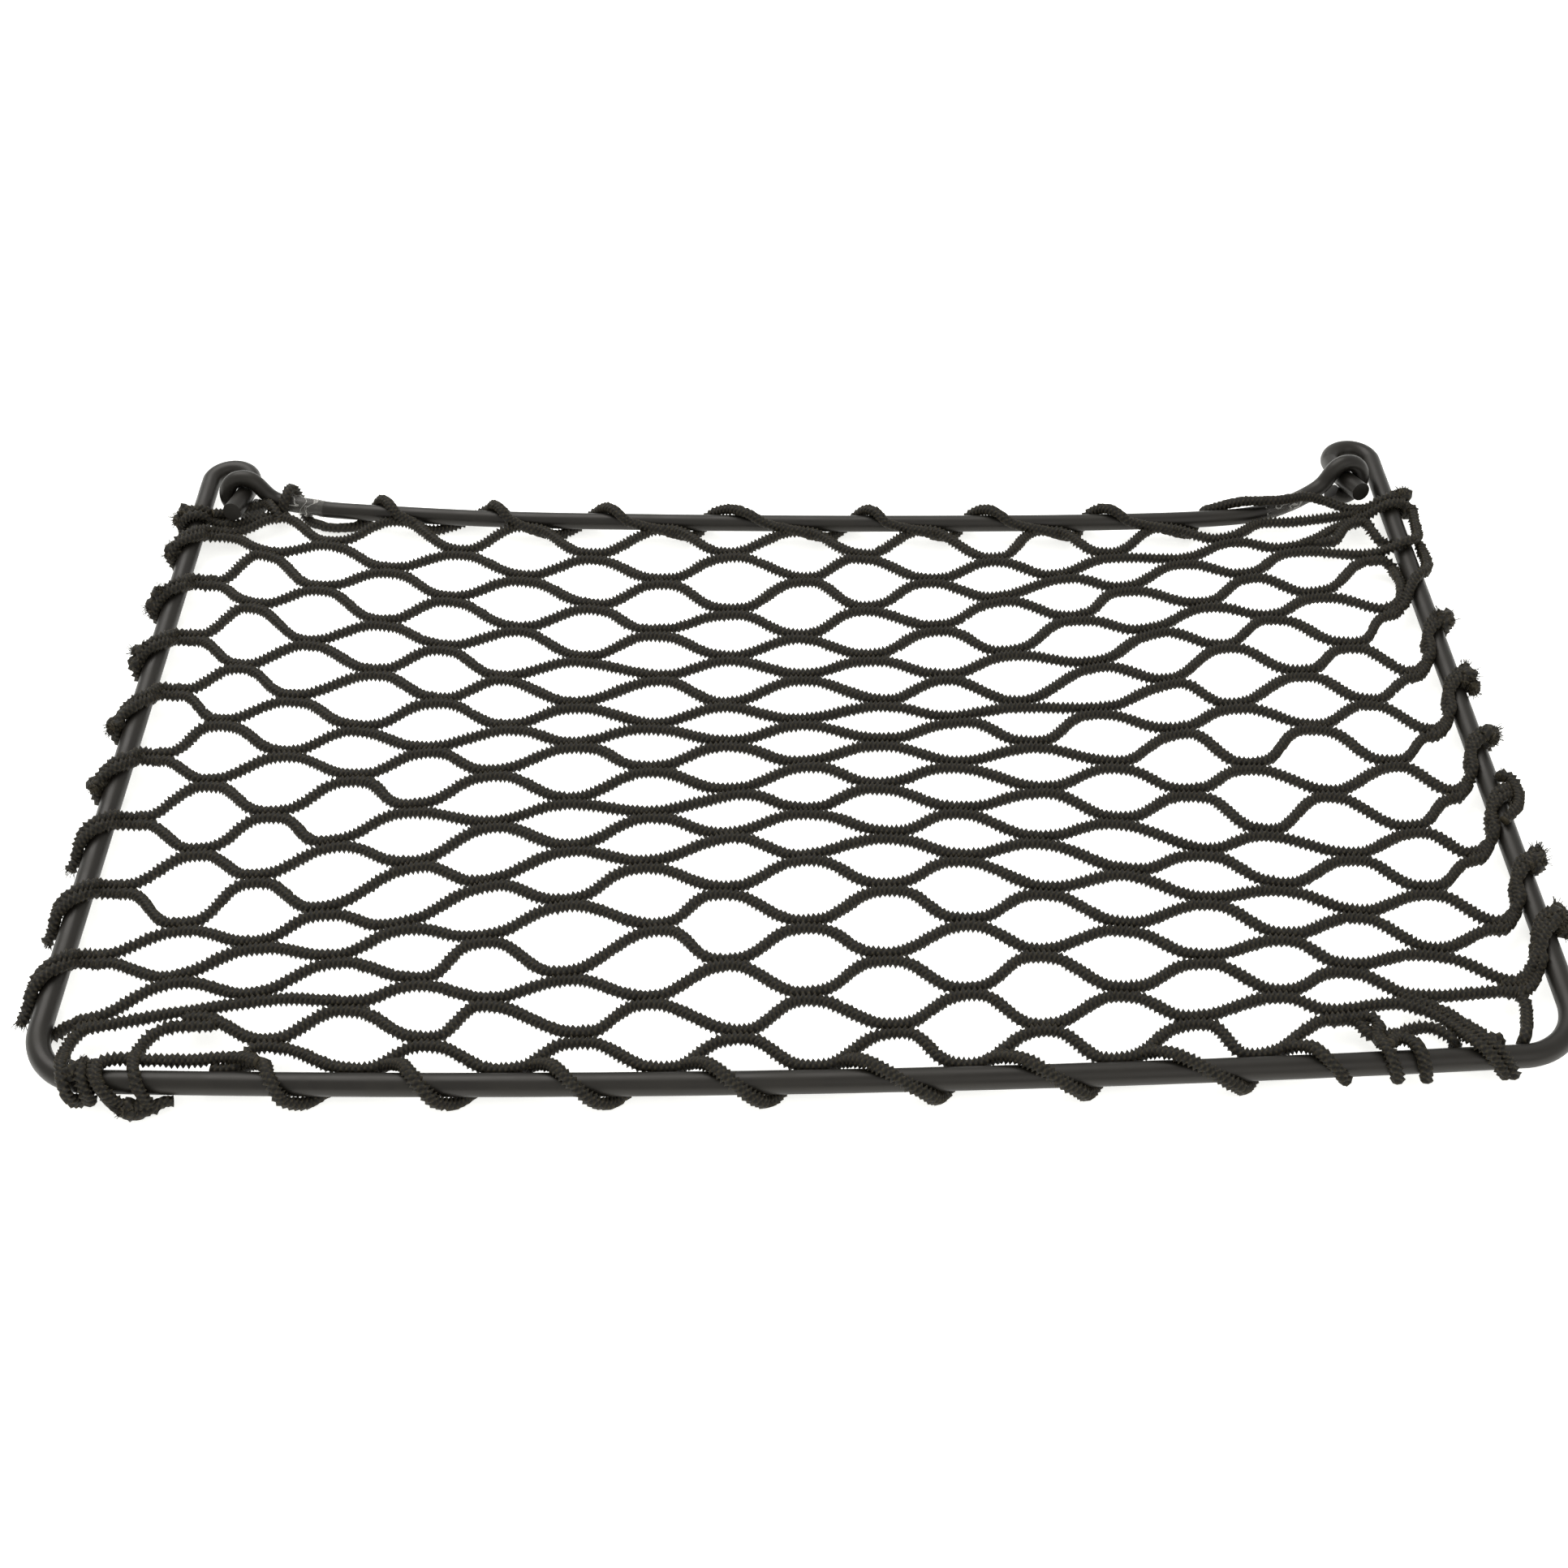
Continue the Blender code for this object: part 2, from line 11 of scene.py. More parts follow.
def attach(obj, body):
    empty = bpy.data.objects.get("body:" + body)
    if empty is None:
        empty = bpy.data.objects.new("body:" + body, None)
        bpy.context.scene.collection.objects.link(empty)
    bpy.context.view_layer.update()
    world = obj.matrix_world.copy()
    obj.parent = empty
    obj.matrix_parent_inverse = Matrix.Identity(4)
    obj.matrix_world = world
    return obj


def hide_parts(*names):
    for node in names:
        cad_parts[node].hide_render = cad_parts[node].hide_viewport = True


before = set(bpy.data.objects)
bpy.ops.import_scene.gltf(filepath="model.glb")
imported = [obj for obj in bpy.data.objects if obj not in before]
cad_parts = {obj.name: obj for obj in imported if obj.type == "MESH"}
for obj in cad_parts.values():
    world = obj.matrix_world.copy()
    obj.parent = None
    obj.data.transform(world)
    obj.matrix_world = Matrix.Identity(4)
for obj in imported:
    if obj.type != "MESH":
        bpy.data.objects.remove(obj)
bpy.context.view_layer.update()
mm = 0.001
dice = random.Random(7)

# Camera: stands in front and above, as a product photographer would
camera = {
    "place": (-3.8, -418.1, 415.5),  # mm
    "pitch": 46.07,  # degrees down
    "yaw": -0.06,
    "roll": -1.06,
    "lens": 44.72,
    "sensor": 36,
    "nearest": 0.01,  # m
}


def addCamera():
    pitch, yaw, roll = (math.radians(camera[k]) for k in ("pitch", "yaw", "roll"))
    forward = Vector((math.sin(yaw) * math.cos(pitch), math.cos(yaw) * math.cos(pitch), -math.sin(pitch)))
    level = Vector((math.cos(yaw), -math.sin(yaw), 0))
    upward = level.cross(forward)
    right = math.cos(roll) * level + math.sin(roll) * upward
    up = -math.sin(roll) * level + math.cos(roll) * upward
    turn = Matrix((right, up, -forward)).transposed().to_4x4()
    data = bpy.data.cameras.new("camera")
    data.lens = camera["lens"]
    data.sensor_width = camera["sensor"]
    data.clip_start = camera["nearest"]
    obj = bpy.data.objects.new("camera", data)
    obj.matrix_world = Matrix.Translation(Vector(camera["place"]) * mm) @ turn
    bpy.context.scene.collection.objects.link(obj)
    bpy.context.scene.camera = obj


# Studio: a white sweep under a large soft light
studio = {
    "floorColor": "#f6f6f3",
    "floorGlow": 0.74,
    "floorSize": 12,  # m
    "floorRoughness": 0.9,
    "floorSpecular": 0.1,
    "skyColor": (1, 1, 0.99, 1),
    "skyStrength": 0.75,
    "boxes": [
        dict(name="keyBox", place=(-0.5, 0.9, 1.5), size=1.6, power=19),
        dict(name="frontBox", place=(0.7, -1.3, 1.3), size=1.4, power=4),
    ],
}


def hexColor(text):
    # sRGB hex to linear
    parts = [int(text[i:i + 2], 16) / 255 for i in (1, 3, 5)]
    return tuple(c / 12.92 if c <= 0.04045 else ((c + 0.055) / 1.055) ** 2.4 for c in parts)


def addNode(tree, kind, settings=None, values=None, links=None):
    # a shader node with its settings, its socket values and the links into it
    node = tree.nodes.new(kind)
    for key, value in (settings or {}).items():
        setattr(node, key, value)
    for key, value in (values or {}).items():
        node.inputs[key].default_value = value
    for key, source in (links or {}).items():
        tree.links.new(source, node.inputs[key])
    return node


def mathOf(tree, operation, *inputs):
    # a Math node's result; its inputs are numbers or other nodes' outputs
    values = {i: v for i, v in enumerate(inputs) if isinstance(v, (int, float))}
    links = {i: v for i, v in enumerate(inputs) if i not in values}
    return addNode(tree, "ShaderNodeMath", {"operation": operation}, values, links).outputs[0]


def span(before, after):
    # the four values of a Map Range node
    return {"From Min": before[0], "From Max": before[1], "To Min": after[0], "To Max": after[1]}


def newMaterial(name):
    material = bpy.data.materials.new(name)
    material.use_nodes = True
    tree = material.node_tree
    return material, tree, tree.nodes["Principled BSDF"]


def addStudio():
    world = bpy.data.worlds.new("studioLight")
    bpy.context.scene.world = world
    world.use_nodes = True
    sky = world.node_tree.nodes["Background"]
    sky.inputs["Color"].default_value = studio["skyColor"]
    sky.inputs["Strength"].default_value = studio["skyStrength"]
    bm = bmesh.new()
    bmesh.ops.create_grid(bm, x_segments=1, y_segments=1, size=studio["floorSize"] / 2)
    mesh = bpy.data.meshes.new("floor")
    bm.to_mesh(mesh)
    bm.free()
    floor = bpy.data.objects.new("floor", mesh)
    bpy.context.scene.collection.objects.link(floor)
    material, tree, shader = newMaterial("whiteSweepPaper")
    pale = (*hexColor(studio["floorColor"]), 1)
    shader.inputs["Base Color"].default_value = pale
    shader.inputs["Roughness"].default_value = studio["floorRoughness"]
    shader.inputs["Specular IOR Level"].default_value = studio["floorSpecular"]
    shader.inputs["Emission Color"].default_value = pale
    shader.inputs["Emission Strength"].default_value = studio["floorGlow"]
    mesh.materials.append(material)
    for row in studio["boxes"]:
        data = bpy.data.lights.new(row["name"], "AREA")
        data.shape = "DISK"
        data.size = row["size"]
        data.energy = row["power"]
        lamp = bpy.data.objects.new(row["name"], data)
        lamp.location = row["place"]
        lamp.rotation_euler = (-Vector(row["place"])).to_track_quat("-Z", "Y").to_euler()
        bpy.context.scene.collection.objects.link(lamp)
    scene = bpy.context.scene
    scene.view_settings.view_transform = "Standard"
    scene.view_settings.look = "None"
    scene.view_settings.exposure = 0
    scene.view_settings.gamma = 1


# Finishes
rodFinish = {
    "coat": "#14120f",  # black polyester powder, baked: a soft sheen, hardly any colour
    "worn": "#1c1a15",
    "tint": "#fffaf4",
    "blotch": 9,  # mm
    "blotchDetail": 3.0,
    "coatUpTo": 0.3,  # shares of the blotches' range
    "wornFrom": 0.75,
    "roughFrom": (0.3, 0.7),
    "roughness": (0.35, 0.49),
    "peel": 0.5,  # mm, grain of the powder's orange peel
    "peelDetail": 2.0,
    "peelDepth": 0.02,  # mm
    "bump": 0.35,
    "ior": 1.44,
}
cordFinish = {
    # painted light: the groove colour is painted shade between the yarns, the ridge colour a painted
    # highlight on the crossings; the yarn colour is the cord's own
    "paintedGrooveShade": "#0c0b08",
    "yarn": "#201c13",
    "paintedRidgeHighlight": "#3e3727",
    "fibre": 0.16,  # mm, one bundle of filaments; drawn coarser than real so that it shows
    "knuckle": 0.72,  # mm between two crossings of the braid
    "sides": 8,
    "ripple": 0.17,  # share of the radius that the crossings stand in and out
    "swell": 0.15,  # the same for a whole ring of crossings
    "rough": 0.06,  # the same by chance, for each crossing
    "waver": 0.03,  # the same by chance, for a whole stretch
    "stretch": 12,  # crossings
    "seed": 3,
    "lowest": 0.02,  # mm above the surface
    "depth": 0.14,  # mm
    "bump": 0.7,
    "fibreShare": 0.22,
    "dust": 1.1,  # mm
    "dustDetail": 4.0,
    "dustShare": 1.5,
    "shadeFrom": (-0.3, 2.0),
    "roughness": 0.62,
    "specular": 0.32,
    "sheen": 0.06,
    "sheenRoughness": 0.45,
    "sheenTint": "#8a8370",
}
filmFinish = {
    # the film colour is the film's faint tint; along the creases it turns nearly opaque, as painted
    # highlight streaks
    "film": "#d4d2ca",
    "alpha": 0.03,
    "paintedStreak": 0.42,  # alpha of a crease's line
    "paintedStreakFrom": (0.006, 0.03),
    "crease": 5,  # mm
    "creaseDetail": 0.5,
    "distortion": 1.0,
    "bump": 0.6,
    "depth": 0.5,  # mm
    "roughness": 0.06,
    "ior": 1.49,
}


def powderCoatedSteel(name):
    # Mild steel with a baked powder coat: dark and even, broad highlights, faint orange peel
    material, tree, shader = newMaterial(name)
    coords = addNode(tree, "ShaderNodeTexCoord")
    blotch = addNode(tree, "ShaderNodeTexNoise", None,
                     {"Scale": 1 / (rodFinish["blotch"] * mm), "Detail": rodFinish["blotchDetail"]},
                     {"Vector": coords.outputs["Object"]})
    colour = addNode(tree, "ShaderNodeValToRGB", None, None, {"Fac": blotch.outputs["Fac"]})
    colour.color_ramp.elements[0].position = rodFinish["coatUpTo"]
    colour.color_ramp.elements[0].color = (*hexColor(rodFinish["coat"]), 1)
    colour.color_ramp.elements[1].position = rodFinish["wornFrom"]
    colour.color_ramp.elements[1].color = (*hexColor(rodFinish["worn"]), 1)
    peel = addNode(tree, "ShaderNodeTexNoise", None,
                   {"Scale": 1 / (rodFinish["peel"] * mm), "Detail": rodFinish["peelDetail"]},
                   {"Vector": coords.outputs["Object"]})
    bump = addNode(tree, "ShaderNodeBump", None,
                   {"Strength": rodFinish["bump"], "Distance": rodFinish["peelDepth"] * mm},
                   {"Height": peel.outputs["Fac"]})
    rough = addNode(tree, "ShaderNodeMapRange", None,
                    span(rodFinish["roughFrom"], rodFinish["roughness"]),
                    {"Value": blotch.outputs["Fac"]})
    tree.links.new(colour.outputs["Color"], shader.inputs["Base Color"])
    tree.links.new(bump.outputs["Normal"], shader.inputs["Normal"])
    tree.links.new(rough.outputs["Result"], shader.inputs["Roughness"])
    shader.inputs["IOR"].default_value = rodFinish["ior"]
    shader.inputs["Specular Tint"].default_value = (*hexColor(rodFinish["tint"]), 1)
    return material


def braidedPolyester(name):
    # Black braided polyester cord: dull, brownish in the light; its colour has painted shade between the
    # yarns and a painted highlight on the crossings.
    # The map's U counts crossings along the cord and V goes once round it.
    material, tree, shader = newMaterial(name)
    uv = addNode(tree, "ShaderNodeUVMap", {"uv_map": "braid"})
    split = addNode(tree, "ShaderNodeSeparateXYZ", None, None, {"Vector": uv.outputs["UV"]})
    along = mathOf(tree, "MULTIPLY", split.outputs["X"], math.pi)
    around = mathOf(tree, "MULTIPLY", split.outputs["Y"], math.pi * cordFinish["sides"])
    knuckle = mathOf(tree, "MULTIPLY", mathOf(tree, "COSINE", along), mathOf(tree, "COSINE", around))
    lean = addNode(tree, "ShaderNodeMix", None, None,
                   {"Factor": mathOf(tree, "GREATER_THAN", knuckle, 0.0),
                    "A": mathOf(tree, "ADD", along, around),
                    "B": mathOf(tree, "SUBTRACT", along, around)})
    fibre = mathOf(tree, "MULTIPLY", lean.outputs["Result"], cordFinish["knuckle"] / cordFinish["fibre"])
    filament = mathOf(tree, "SINE", fibre)
    coords = addNode(tree, "ShaderNodeTexCoord")
    dustValues = {"Scale": 1 / (cordFinish["dust"] * mm), "Detail": cordFinish["dustDetail"]}
    dust = addNode(tree, "ShaderNodeTexNoise", None, dustValues,
                   {"Vector": coords.outputs["Object"]})
    height = mathOf(tree, "MULTIPLY_ADD", filament, cordFinish["fibreShare"], knuckle)
    mixed = mathOf(tree, "MULTIPLY_ADD", dust.outputs["Fac"], cordFinish["dustShare"], height)
    shade = addNode(tree, "ShaderNodeMapRange", None, span(cordFinish["shadeFrom"], (0.0, 1.0)),
                    {"Value": mixed})
    # the ramp runs from painted shade in the grooves, through the yarn's own colour, to a painted
    # highlight on the ridges; the dust noise adds random tone
    colour = addNode(tree, "ShaderNodeValToRGB", None, None, {"Fac": shade.outputs["Result"]})
    colour.color_ramp.elements[0].color = (*hexColor(cordFinish["paintedGrooveShade"]), 1)
    colour.color_ramp.elements[1].color = (*hexColor(cordFinish["paintedRidgeHighlight"]), 1)
    middle = colour.color_ramp.elements.new(0.5)
    middle.color = (*hexColor(cordFinish["yarn"]), 1)
    bump = addNode(tree, "ShaderNodeBump", None,
                   {"Strength": cordFinish["bump"], "Distance": cordFinish["depth"] * mm},
                   {"Height": height})
    tree.links.new(colour.outputs["Color"], shader.inputs["Base Color"])
    tree.links.new(bump.outputs["Normal"], shader.inputs["Normal"])
    shader.inputs["Roughness"].default_value = cordFinish["roughness"]
    shader.inputs["Specular IOR Level"].default_value = cordFinish["specular"]
    shader.inputs["Sheen Weight"].default_value = cordFinish["sheen"]
    shader.inputs["Sheen Roughness"].default_value = cordFinish["sheenRoughness"]
    shader.inputs["Sheen Tint"].default_value = (*hexColor(cordFinish["sheenTint"]), 1)
    return material


def clearFilm(name):
    # Clear plastic film, wound on tight: glassy, with pale lines painted along its creases as highlight
    # streaks over a dark rod
    material, tree, shader = newMaterial(name)
    coords = addNode(tree, "ShaderNodeTexCoord")
    crease = addNode(tree, "ShaderNodeTexNoise", None,
                     {"Scale": 1 / (filmFinish["crease"] * mm), "Detail": filmFinish["creaseDetail"],
                      "Distortion": filmFinish["distortion"]},
                     {"Vector": coords.outputs["Object"]})
    size = mathOf(tree, "ABSOLUTE", mathOf(tree, "SUBTRACT", crease.outputs["Fac"], 0.5))
    # painted highlight: the creases' lines are drawn nearly opaque in the pale film colour, as streaks of
    # light
    paintedStreak = addNode(tree, "ShaderNodeMapRange", None,
                   span(filmFinish["paintedStreakFrom"], (filmFinish["paintedStreak"], filmFinish["alpha"])),
                   {"Value": size})
    bump = addNode(tree, "ShaderNodeBump", None,
                   {"Strength": filmFinish["bump"], "Distance": filmFinish["depth"] * mm},
                   {"Height": crease.outputs["Fac"]})
    tree.links.new(bump.outputs["Normal"], shader.inputs["Normal"])
    shader.inputs["Base Color"].default_value = (*hexColor(filmFinish["film"]), 1)
    tree.links.new(paintedStreak.outputs["Result"], shader.inputs["Alpha"])
    shader.inputs["Roughness"].default_value = filmFinish["roughness"]
    shader.inputs["IOR"].default_value = filmFinish["ior"]
    return material


# Shapes that several pieces share
place = {"middleY": 125.1, "rodHeight": 6.2, "barHeight": 5.85}  # mm
smoothSteps = {"rod": 8, "loose": 7, "wound": 6}  # points to each span of a smooth route
shape = {
    "mergeWithin": 0.001,  # mm
    "apart": 1e-4,  # mm: nearer points of a route are one
    "fewest": 4,
    "sharp": 50,  # degrees
    "never": 180,
}


def plan(x, y, z=None):
    return Vector((x, y - place["middleY"], place["rodHeight"] if z is None else z)) * mm


def smoothRoute(points, steps):
    ends = [2 * points[0] - points[1], *points, 2 * points[-1] - points[-2]]
    route = []
    for a, b, c, d in zip(ends, ends[1:], ends[2:], ends[3:]):
        for i in range(steps):
            t = i / steps
            route.append(0.5 * (2 * b + (c - a) * t + (2 * a - 5 * b + 4 * c - d) * t ** 2
                                + (3 * b - a - 3 * c + d) * t ** 3))
    return route + [points[-1]]


def arc(centre, radius, start, end, steps):
    angles = [math.radians(start + (end - start) * i / steps) for i in range(steps + 1)]
    return [centre + radius * Vector((math.cos(a), math.sin(a), 0)) for a in angles]


def atX(route, x):
    for a, b in zip(route, route[1:]):
        if a.x <= x <= b.x and a.x < b.x:
            return a.lerp(b, (x - a.x) / (b.x - a.x))
    return route[-1] if x > route[-1].x else route[0]


def evenly(route, spacing):
    # points the same distance apart along a route
    pts = np.array([tuple(p) for p in route])
    gaps = np.linalg.norm(np.diff(pts, axis=0), axis=1)
    keep = np.concatenate(([True], gaps > shape["apart"] * mm))
    pts = pts[keep]
    run = np.concatenate(([0], np.cumsum(np.linalg.norm(np.diff(pts, axis=0), axis=1))))
    count = max(shape["fewest"], int(round(run[-1] / spacing)) + 1)
    marks = np.linspace(0, run[-1], count)
    return np.stack([np.interp(marks, run, pts[:, i]) for i in range(3)], axis=1)


def tubeMesh(name, routes, radius, resolution):
    # round tubes along routes, as one mesh; each route is an array of points
    curve = bpy.data.curves.new(name, "CURVE")
    curve.dimensions = "3D"
    curve.bevel_depth = radius
    curve.bevel_resolution = resolution
    curve.use_fill_caps = True
    for route in routes:
        spline = curve.splines.new("POLY")
        spline.points.add(len(route) - 1)
        flat = np.ones((len(route), 4))
        flat[:, :3] = route
        spline.points.foreach_set("co", flat.ravel())
    holder = bpy.data.objects.new(name, curve)
    bpy.context.scene.collection.objects.link(holder)
    evaluated = holder.evaluated_get(bpy.context.evaluated_depsgraph_get())
    mesh = bpy.data.meshes.new_from_object(evaluated)
    bpy.data.objects.remove(holder)
    bpy.data.curves.remove(curve)
    mesh.name = name
    return mesh


def addPiece(name, mesh, material, nodes, sharp=shape["sharp"]):
    bm = bmesh.new()
    bm.from_mesh(mesh)
    bmesh.ops.remove_doubles(bm, verts=bm.verts, dist=shape["mergeWithin"] * mm)
    bm.to_mesh(mesh)
    bm.free()
    mesh.materials.clear()
    mesh.materials.append(material)
    mesh.shade_smooth()
    mesh.set_sharp_from_angle(angle=math.radians(sharp))
    obj = bpy.data.objects.new(name, mesh)
    bpy.context.scene.collection.objects.link(obj)
    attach(obj, "root")
    if nodes:
        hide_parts(*nodes)
    print("piece", name, len(mesh.polygons), "faces")
    return obj


def braidMesh(name, routes, radius, roughness=1.0):
    # Tubes whose points stand in and out by turns, as the crossings of a braid do
    sides = cordFinish["sides"]
    routes = [evenly(route, cordFinish["knuckle"] * mm) for route in routes]
    mesh = tubeMesh(name, routes, radius, (sides - 4) // 2)
    count = len(mesh.vertices)
    co = np.empty(count * 3)
    mesh.vertices.foreach_get("co", co)
    co = co.reshape(-1, 3)
    first = count - sides * sum(len(route) for route in routes)  # the caps come before the walls
    ringOf = np.zeros(count)
    sideOf = np.zeros(count)
    generator = np.random.default_rng(cordFinish["seed"])
    start = first
    for route in routes:
        n = len(route)
        rings = co[start:start + n * sides].reshape(n, sides, 3)
        centre = np.asarray(route)[:, None, :]
        step = np.arange(n)[:, None]
        side = np.arange(sides)[None, :]
        ripple = np.where((step + side) % 2 == 0, 1, -1) * cordFinish["ripple"]
        ripple = ripple + np.where(step % 2 == 0, 1, -1) * cordFinish["swell"]
        marks = np.arange(0, n + cordFinish["stretch"], cordFinish["stretch"])
        slow = np.interp(np.arange(n), marks, generator.normal(0, cordFinish["waver"], len(marks)))
        rough = generator.normal(0, cordFinish["rough"] * roughness, (n, sides))
        grow = 1 + ripple + rough + slow[:, None]
        grow[0] = grow[-1] = 1
        rings[:] = centre + (rings - centre) * grow[:, :, None]
        rings[:, :, 2] = np.maximum(rings[:, :, 2], cordFinish["lowest"] * mm)
        ringOf[start:start + n * sides] = np.repeat(np.arange(n), sides)
        sideOf[start:start + n * sides] = np.tile(np.arange(sides), n)
        start += n * sides
    mesh.vertices.foreach_set("co", co.ravel())
    while mesh.uv_layers:
        mesh.uv_layers.remove(mesh.uv_layers[0])
    layer = mesh.uv_layers.new(name="braid")
    corners = np.empty(len(mesh.loops), dtype=np.int32)
    mesh.loops.foreach_get("vertex_index", corners)
    starts = np.empty(len(mesh.polygons), dtype=np.int32)
    mesh.polygons.foreach_get("loop_start", starts)
    u, v = ringOf[corners], sideOf[corners]
    owner = np.zeros(len(corners), dtype=np.int64)
    owner[starts[1:]] = 1
    owner = np.cumsum(owner)
    widest = np.maximum.reduceat(v, starts)[owner]
    v = np.where((widest == sides - 1) & (v == 0), sides, v)
    layer.data.foreach_set("uv", np.stack([u, v / sides], axis=1).ravel())
    return mesh


# The frame rod: 6 mm steel bent to a U with two hooks
frameRod = {
    "width": 400,  # mm between the side rods' centrelines
    "radius": 3.1,
    "corner": 17,
    "bow": 4,
    "hook": 7,
    "hookY": 250.8,
    "sideY": (60, 120, 180),
    "leg": {-1: [(-186.0, 250.8, 6.2), (-185.8, 244.0, 7.8), (-186.0, 236.0, 9.8), (-187.2, 226.5, 12.0)],
            1: [(186.0, 250.8, 6.2), (186.2, 244.0, 7.8), (187.4, 236.0, 9.8), (190.2, 226.5, 12.0)]},
    "frontSteps": 40,
    "cornerSteps": 18,
    "hookSteps": 26,
    "resolution": 8,
}


def frontRodY(x):
    share = min(abs(x) / (frameRod["width"] / 2 - frameRod["corner"]), 1)
    return -frameRod["bow"] * (1 - share ** 2)


def hookLeg(side):
    return smoothRoute([plan(x, y, z) for x, y, z in frameRod["leg"][side]], smoothSteps["rod"])


def halfFrame(side):
    cornerX = frameRod["width"] / 2 - frameRod["corner"]
    steps = frameRod["frontSteps"]
    route = [plan(cornerX * i / steps, frontRodY(cornerX * i / steps)) for i in range(steps)]
    route += arc(plan(cornerX, frameRod["corner"]), frameRod["corner"] * mm, -90, 0,
                 frameRod["cornerSteps"])
    hookX = frameRod["width"] / 2 - frameRod["hook"]
    route += [plan(frameRod["width"] / 2, y) for y in frameRod["sideY"]]
    route += arc(plan(hookX, frameRod["hookY"]), frameRod["hook"] * mm, 0, 180,
                 frameRod["hookSteps"])[:-1]
    return [Vector((side * p.x, p.y, p.z)) for p in route] + hookLeg(side)


# The back bar: 5.5 mm steel with an eye round each hook
backBar = {
    "radius": 2.75,
    "eye": 5.95,
    "eyeStart": 135,
    "eyeEnd": -141,
    "eyeSteps": 36,
    "lead": 9,
    "eyeY": {-1: 240, 1: 236.5},
    "stations": [(-162, 236.2), (-150, 233.6), (-100, 228.0), (-50, 225.0), (0, 222.8),
                 (50, 221.3), (100, 220.5), (140, 221.4), (160, 225.0)],
    "reach": 160,  # mm: further out, the bar no longer bounds the net
    "resolution": 7,
}


def eyeRoute(side):
    leg = hookLeg(side)
    y = plan(0, backBar["eyeY"][side]).y
    near = min(range(1, len(leg) - 1), key=lambda i: abs(leg[i].y - y))
    axis = (leg[near + 1] - leg[near - 1]).normalized()
    centre = leg[near] + axis * ((y - leg[near].y) / axis.y)
    across = Vector((0, 0, 1)).cross(axis).normalized()
    if across.x * side < 0:
        across = -across
    up = axis.cross(across)
    if up.z < 0:
        up = -up
    route = []
    for i in range(backBar["eyeSteps"] + 1):
        turned = (backBar["eyeEnd"] - backBar["eyeStart"]) * i / backBar["eyeSteps"]
        a = math.radians(backBar["eyeStart"] + turned)
        route.append(centre + backBar["eye"] * mm * (math.cos(a) * across + math.sin(a) * up))
    return route[0] - backBar["lead"] * mm * (across + up).normalized(), route


def barRoute():
    leftLead, leftEye = eyeRoute(-1)
    rightLead, rightEye = eyeRoute(1)
    middle = [plan(x, y, place["barHeight"]) for x, y in backBar["stations"]]
    between = smoothRoute([leftEye[0], leftLead, *middle, rightLead, rightEye[0]], smoothSteps["rod"])
    return leftEye[:0:-1] + between + rightEye[1:]


bar = barRoute()


def barY(x):
    within = max(-backBar["reach"], min(backBar["reach"], x))
    return atX(bar, within * mm).y / mm + place["middleY"]


def addRods():
    coat = powderCoatedSteel("powderCoatedSteelRod")
    left, right = halfFrame(-1), halfFrame(1)
    route = np.array([tuple(p) for p in left[::-1] + right[1:]])
    mesh = tubeMesh("frameRod", [route], frameRod["radius"] * mm, frameRod["resolution"])
    addPiece("frameRod", mesh, coat, ["frame_rod"])
    coat = powderCoatedSteel("powderCoatedSteelBar")
    route = np.array([tuple(p) for p in bar])
    mesh = tubeMesh("backBar", [route], backBar["radius"] * mm, backBar["resolution"])
    addPiece("backBar", mesh, coat, ["back_bar"])


# Clear film round the bar beside each eye
sleeve = {
    "radius": 3.45,  # mm
    "wall": 0.3,  # mm
    "spans": {"sleeve_left": (-173, -158), "sleeve_right": (158, 172)},
    "steps": 30,
    "resolution": 7,
    "pucker": 0.07,  # share of the radius
    "waves": (2900, 900),  # radians to a metre, along the bar and in height
}


def addSleeves():
    for word, (node, (start, end)) in zip(("Left", "Right"), sleeve["spans"].items()):
        steps = sleeve["steps"]
        route = [atX(bar, (start + (end - start) * k / steps) * mm) for k in range(steps + 1)]
        route = np.array([tuple(p) for p in route])
        mesh = tubeMesh("film", [route], sleeve["radius"] * mm, sleeve["resolution"])
        bm = bmesh.new()
        bm.from_mesh(mesh)
        caps = [f for f in bm.faces if len(f.verts) == 3]
        bmesh.ops.delete(bm, geom=caps, context="FACES")
        bmesh.ops.remove_doubles(bm, verts=bm.verts, dist=shape["mergeWithin"] * mm)
        for v in bm.verts:
            axis = atX(bar, v.co.x)
            wave = math.sin(v.co.x * sleeve["waves"][0] + v.co.z * sleeve["waves"][1])
            v.co += (v.co - axis) * sleeve["pucker"] * wave
        bmesh.ops.solidify(bm, geom=bm.faces[:], thickness=sleeve["wall"] * mm)
        bm.to_mesh(mesh)
        bm.free()
        addPiece("filmSleeve" + word, mesh, clearFilm("clearFilm" + word), [node])


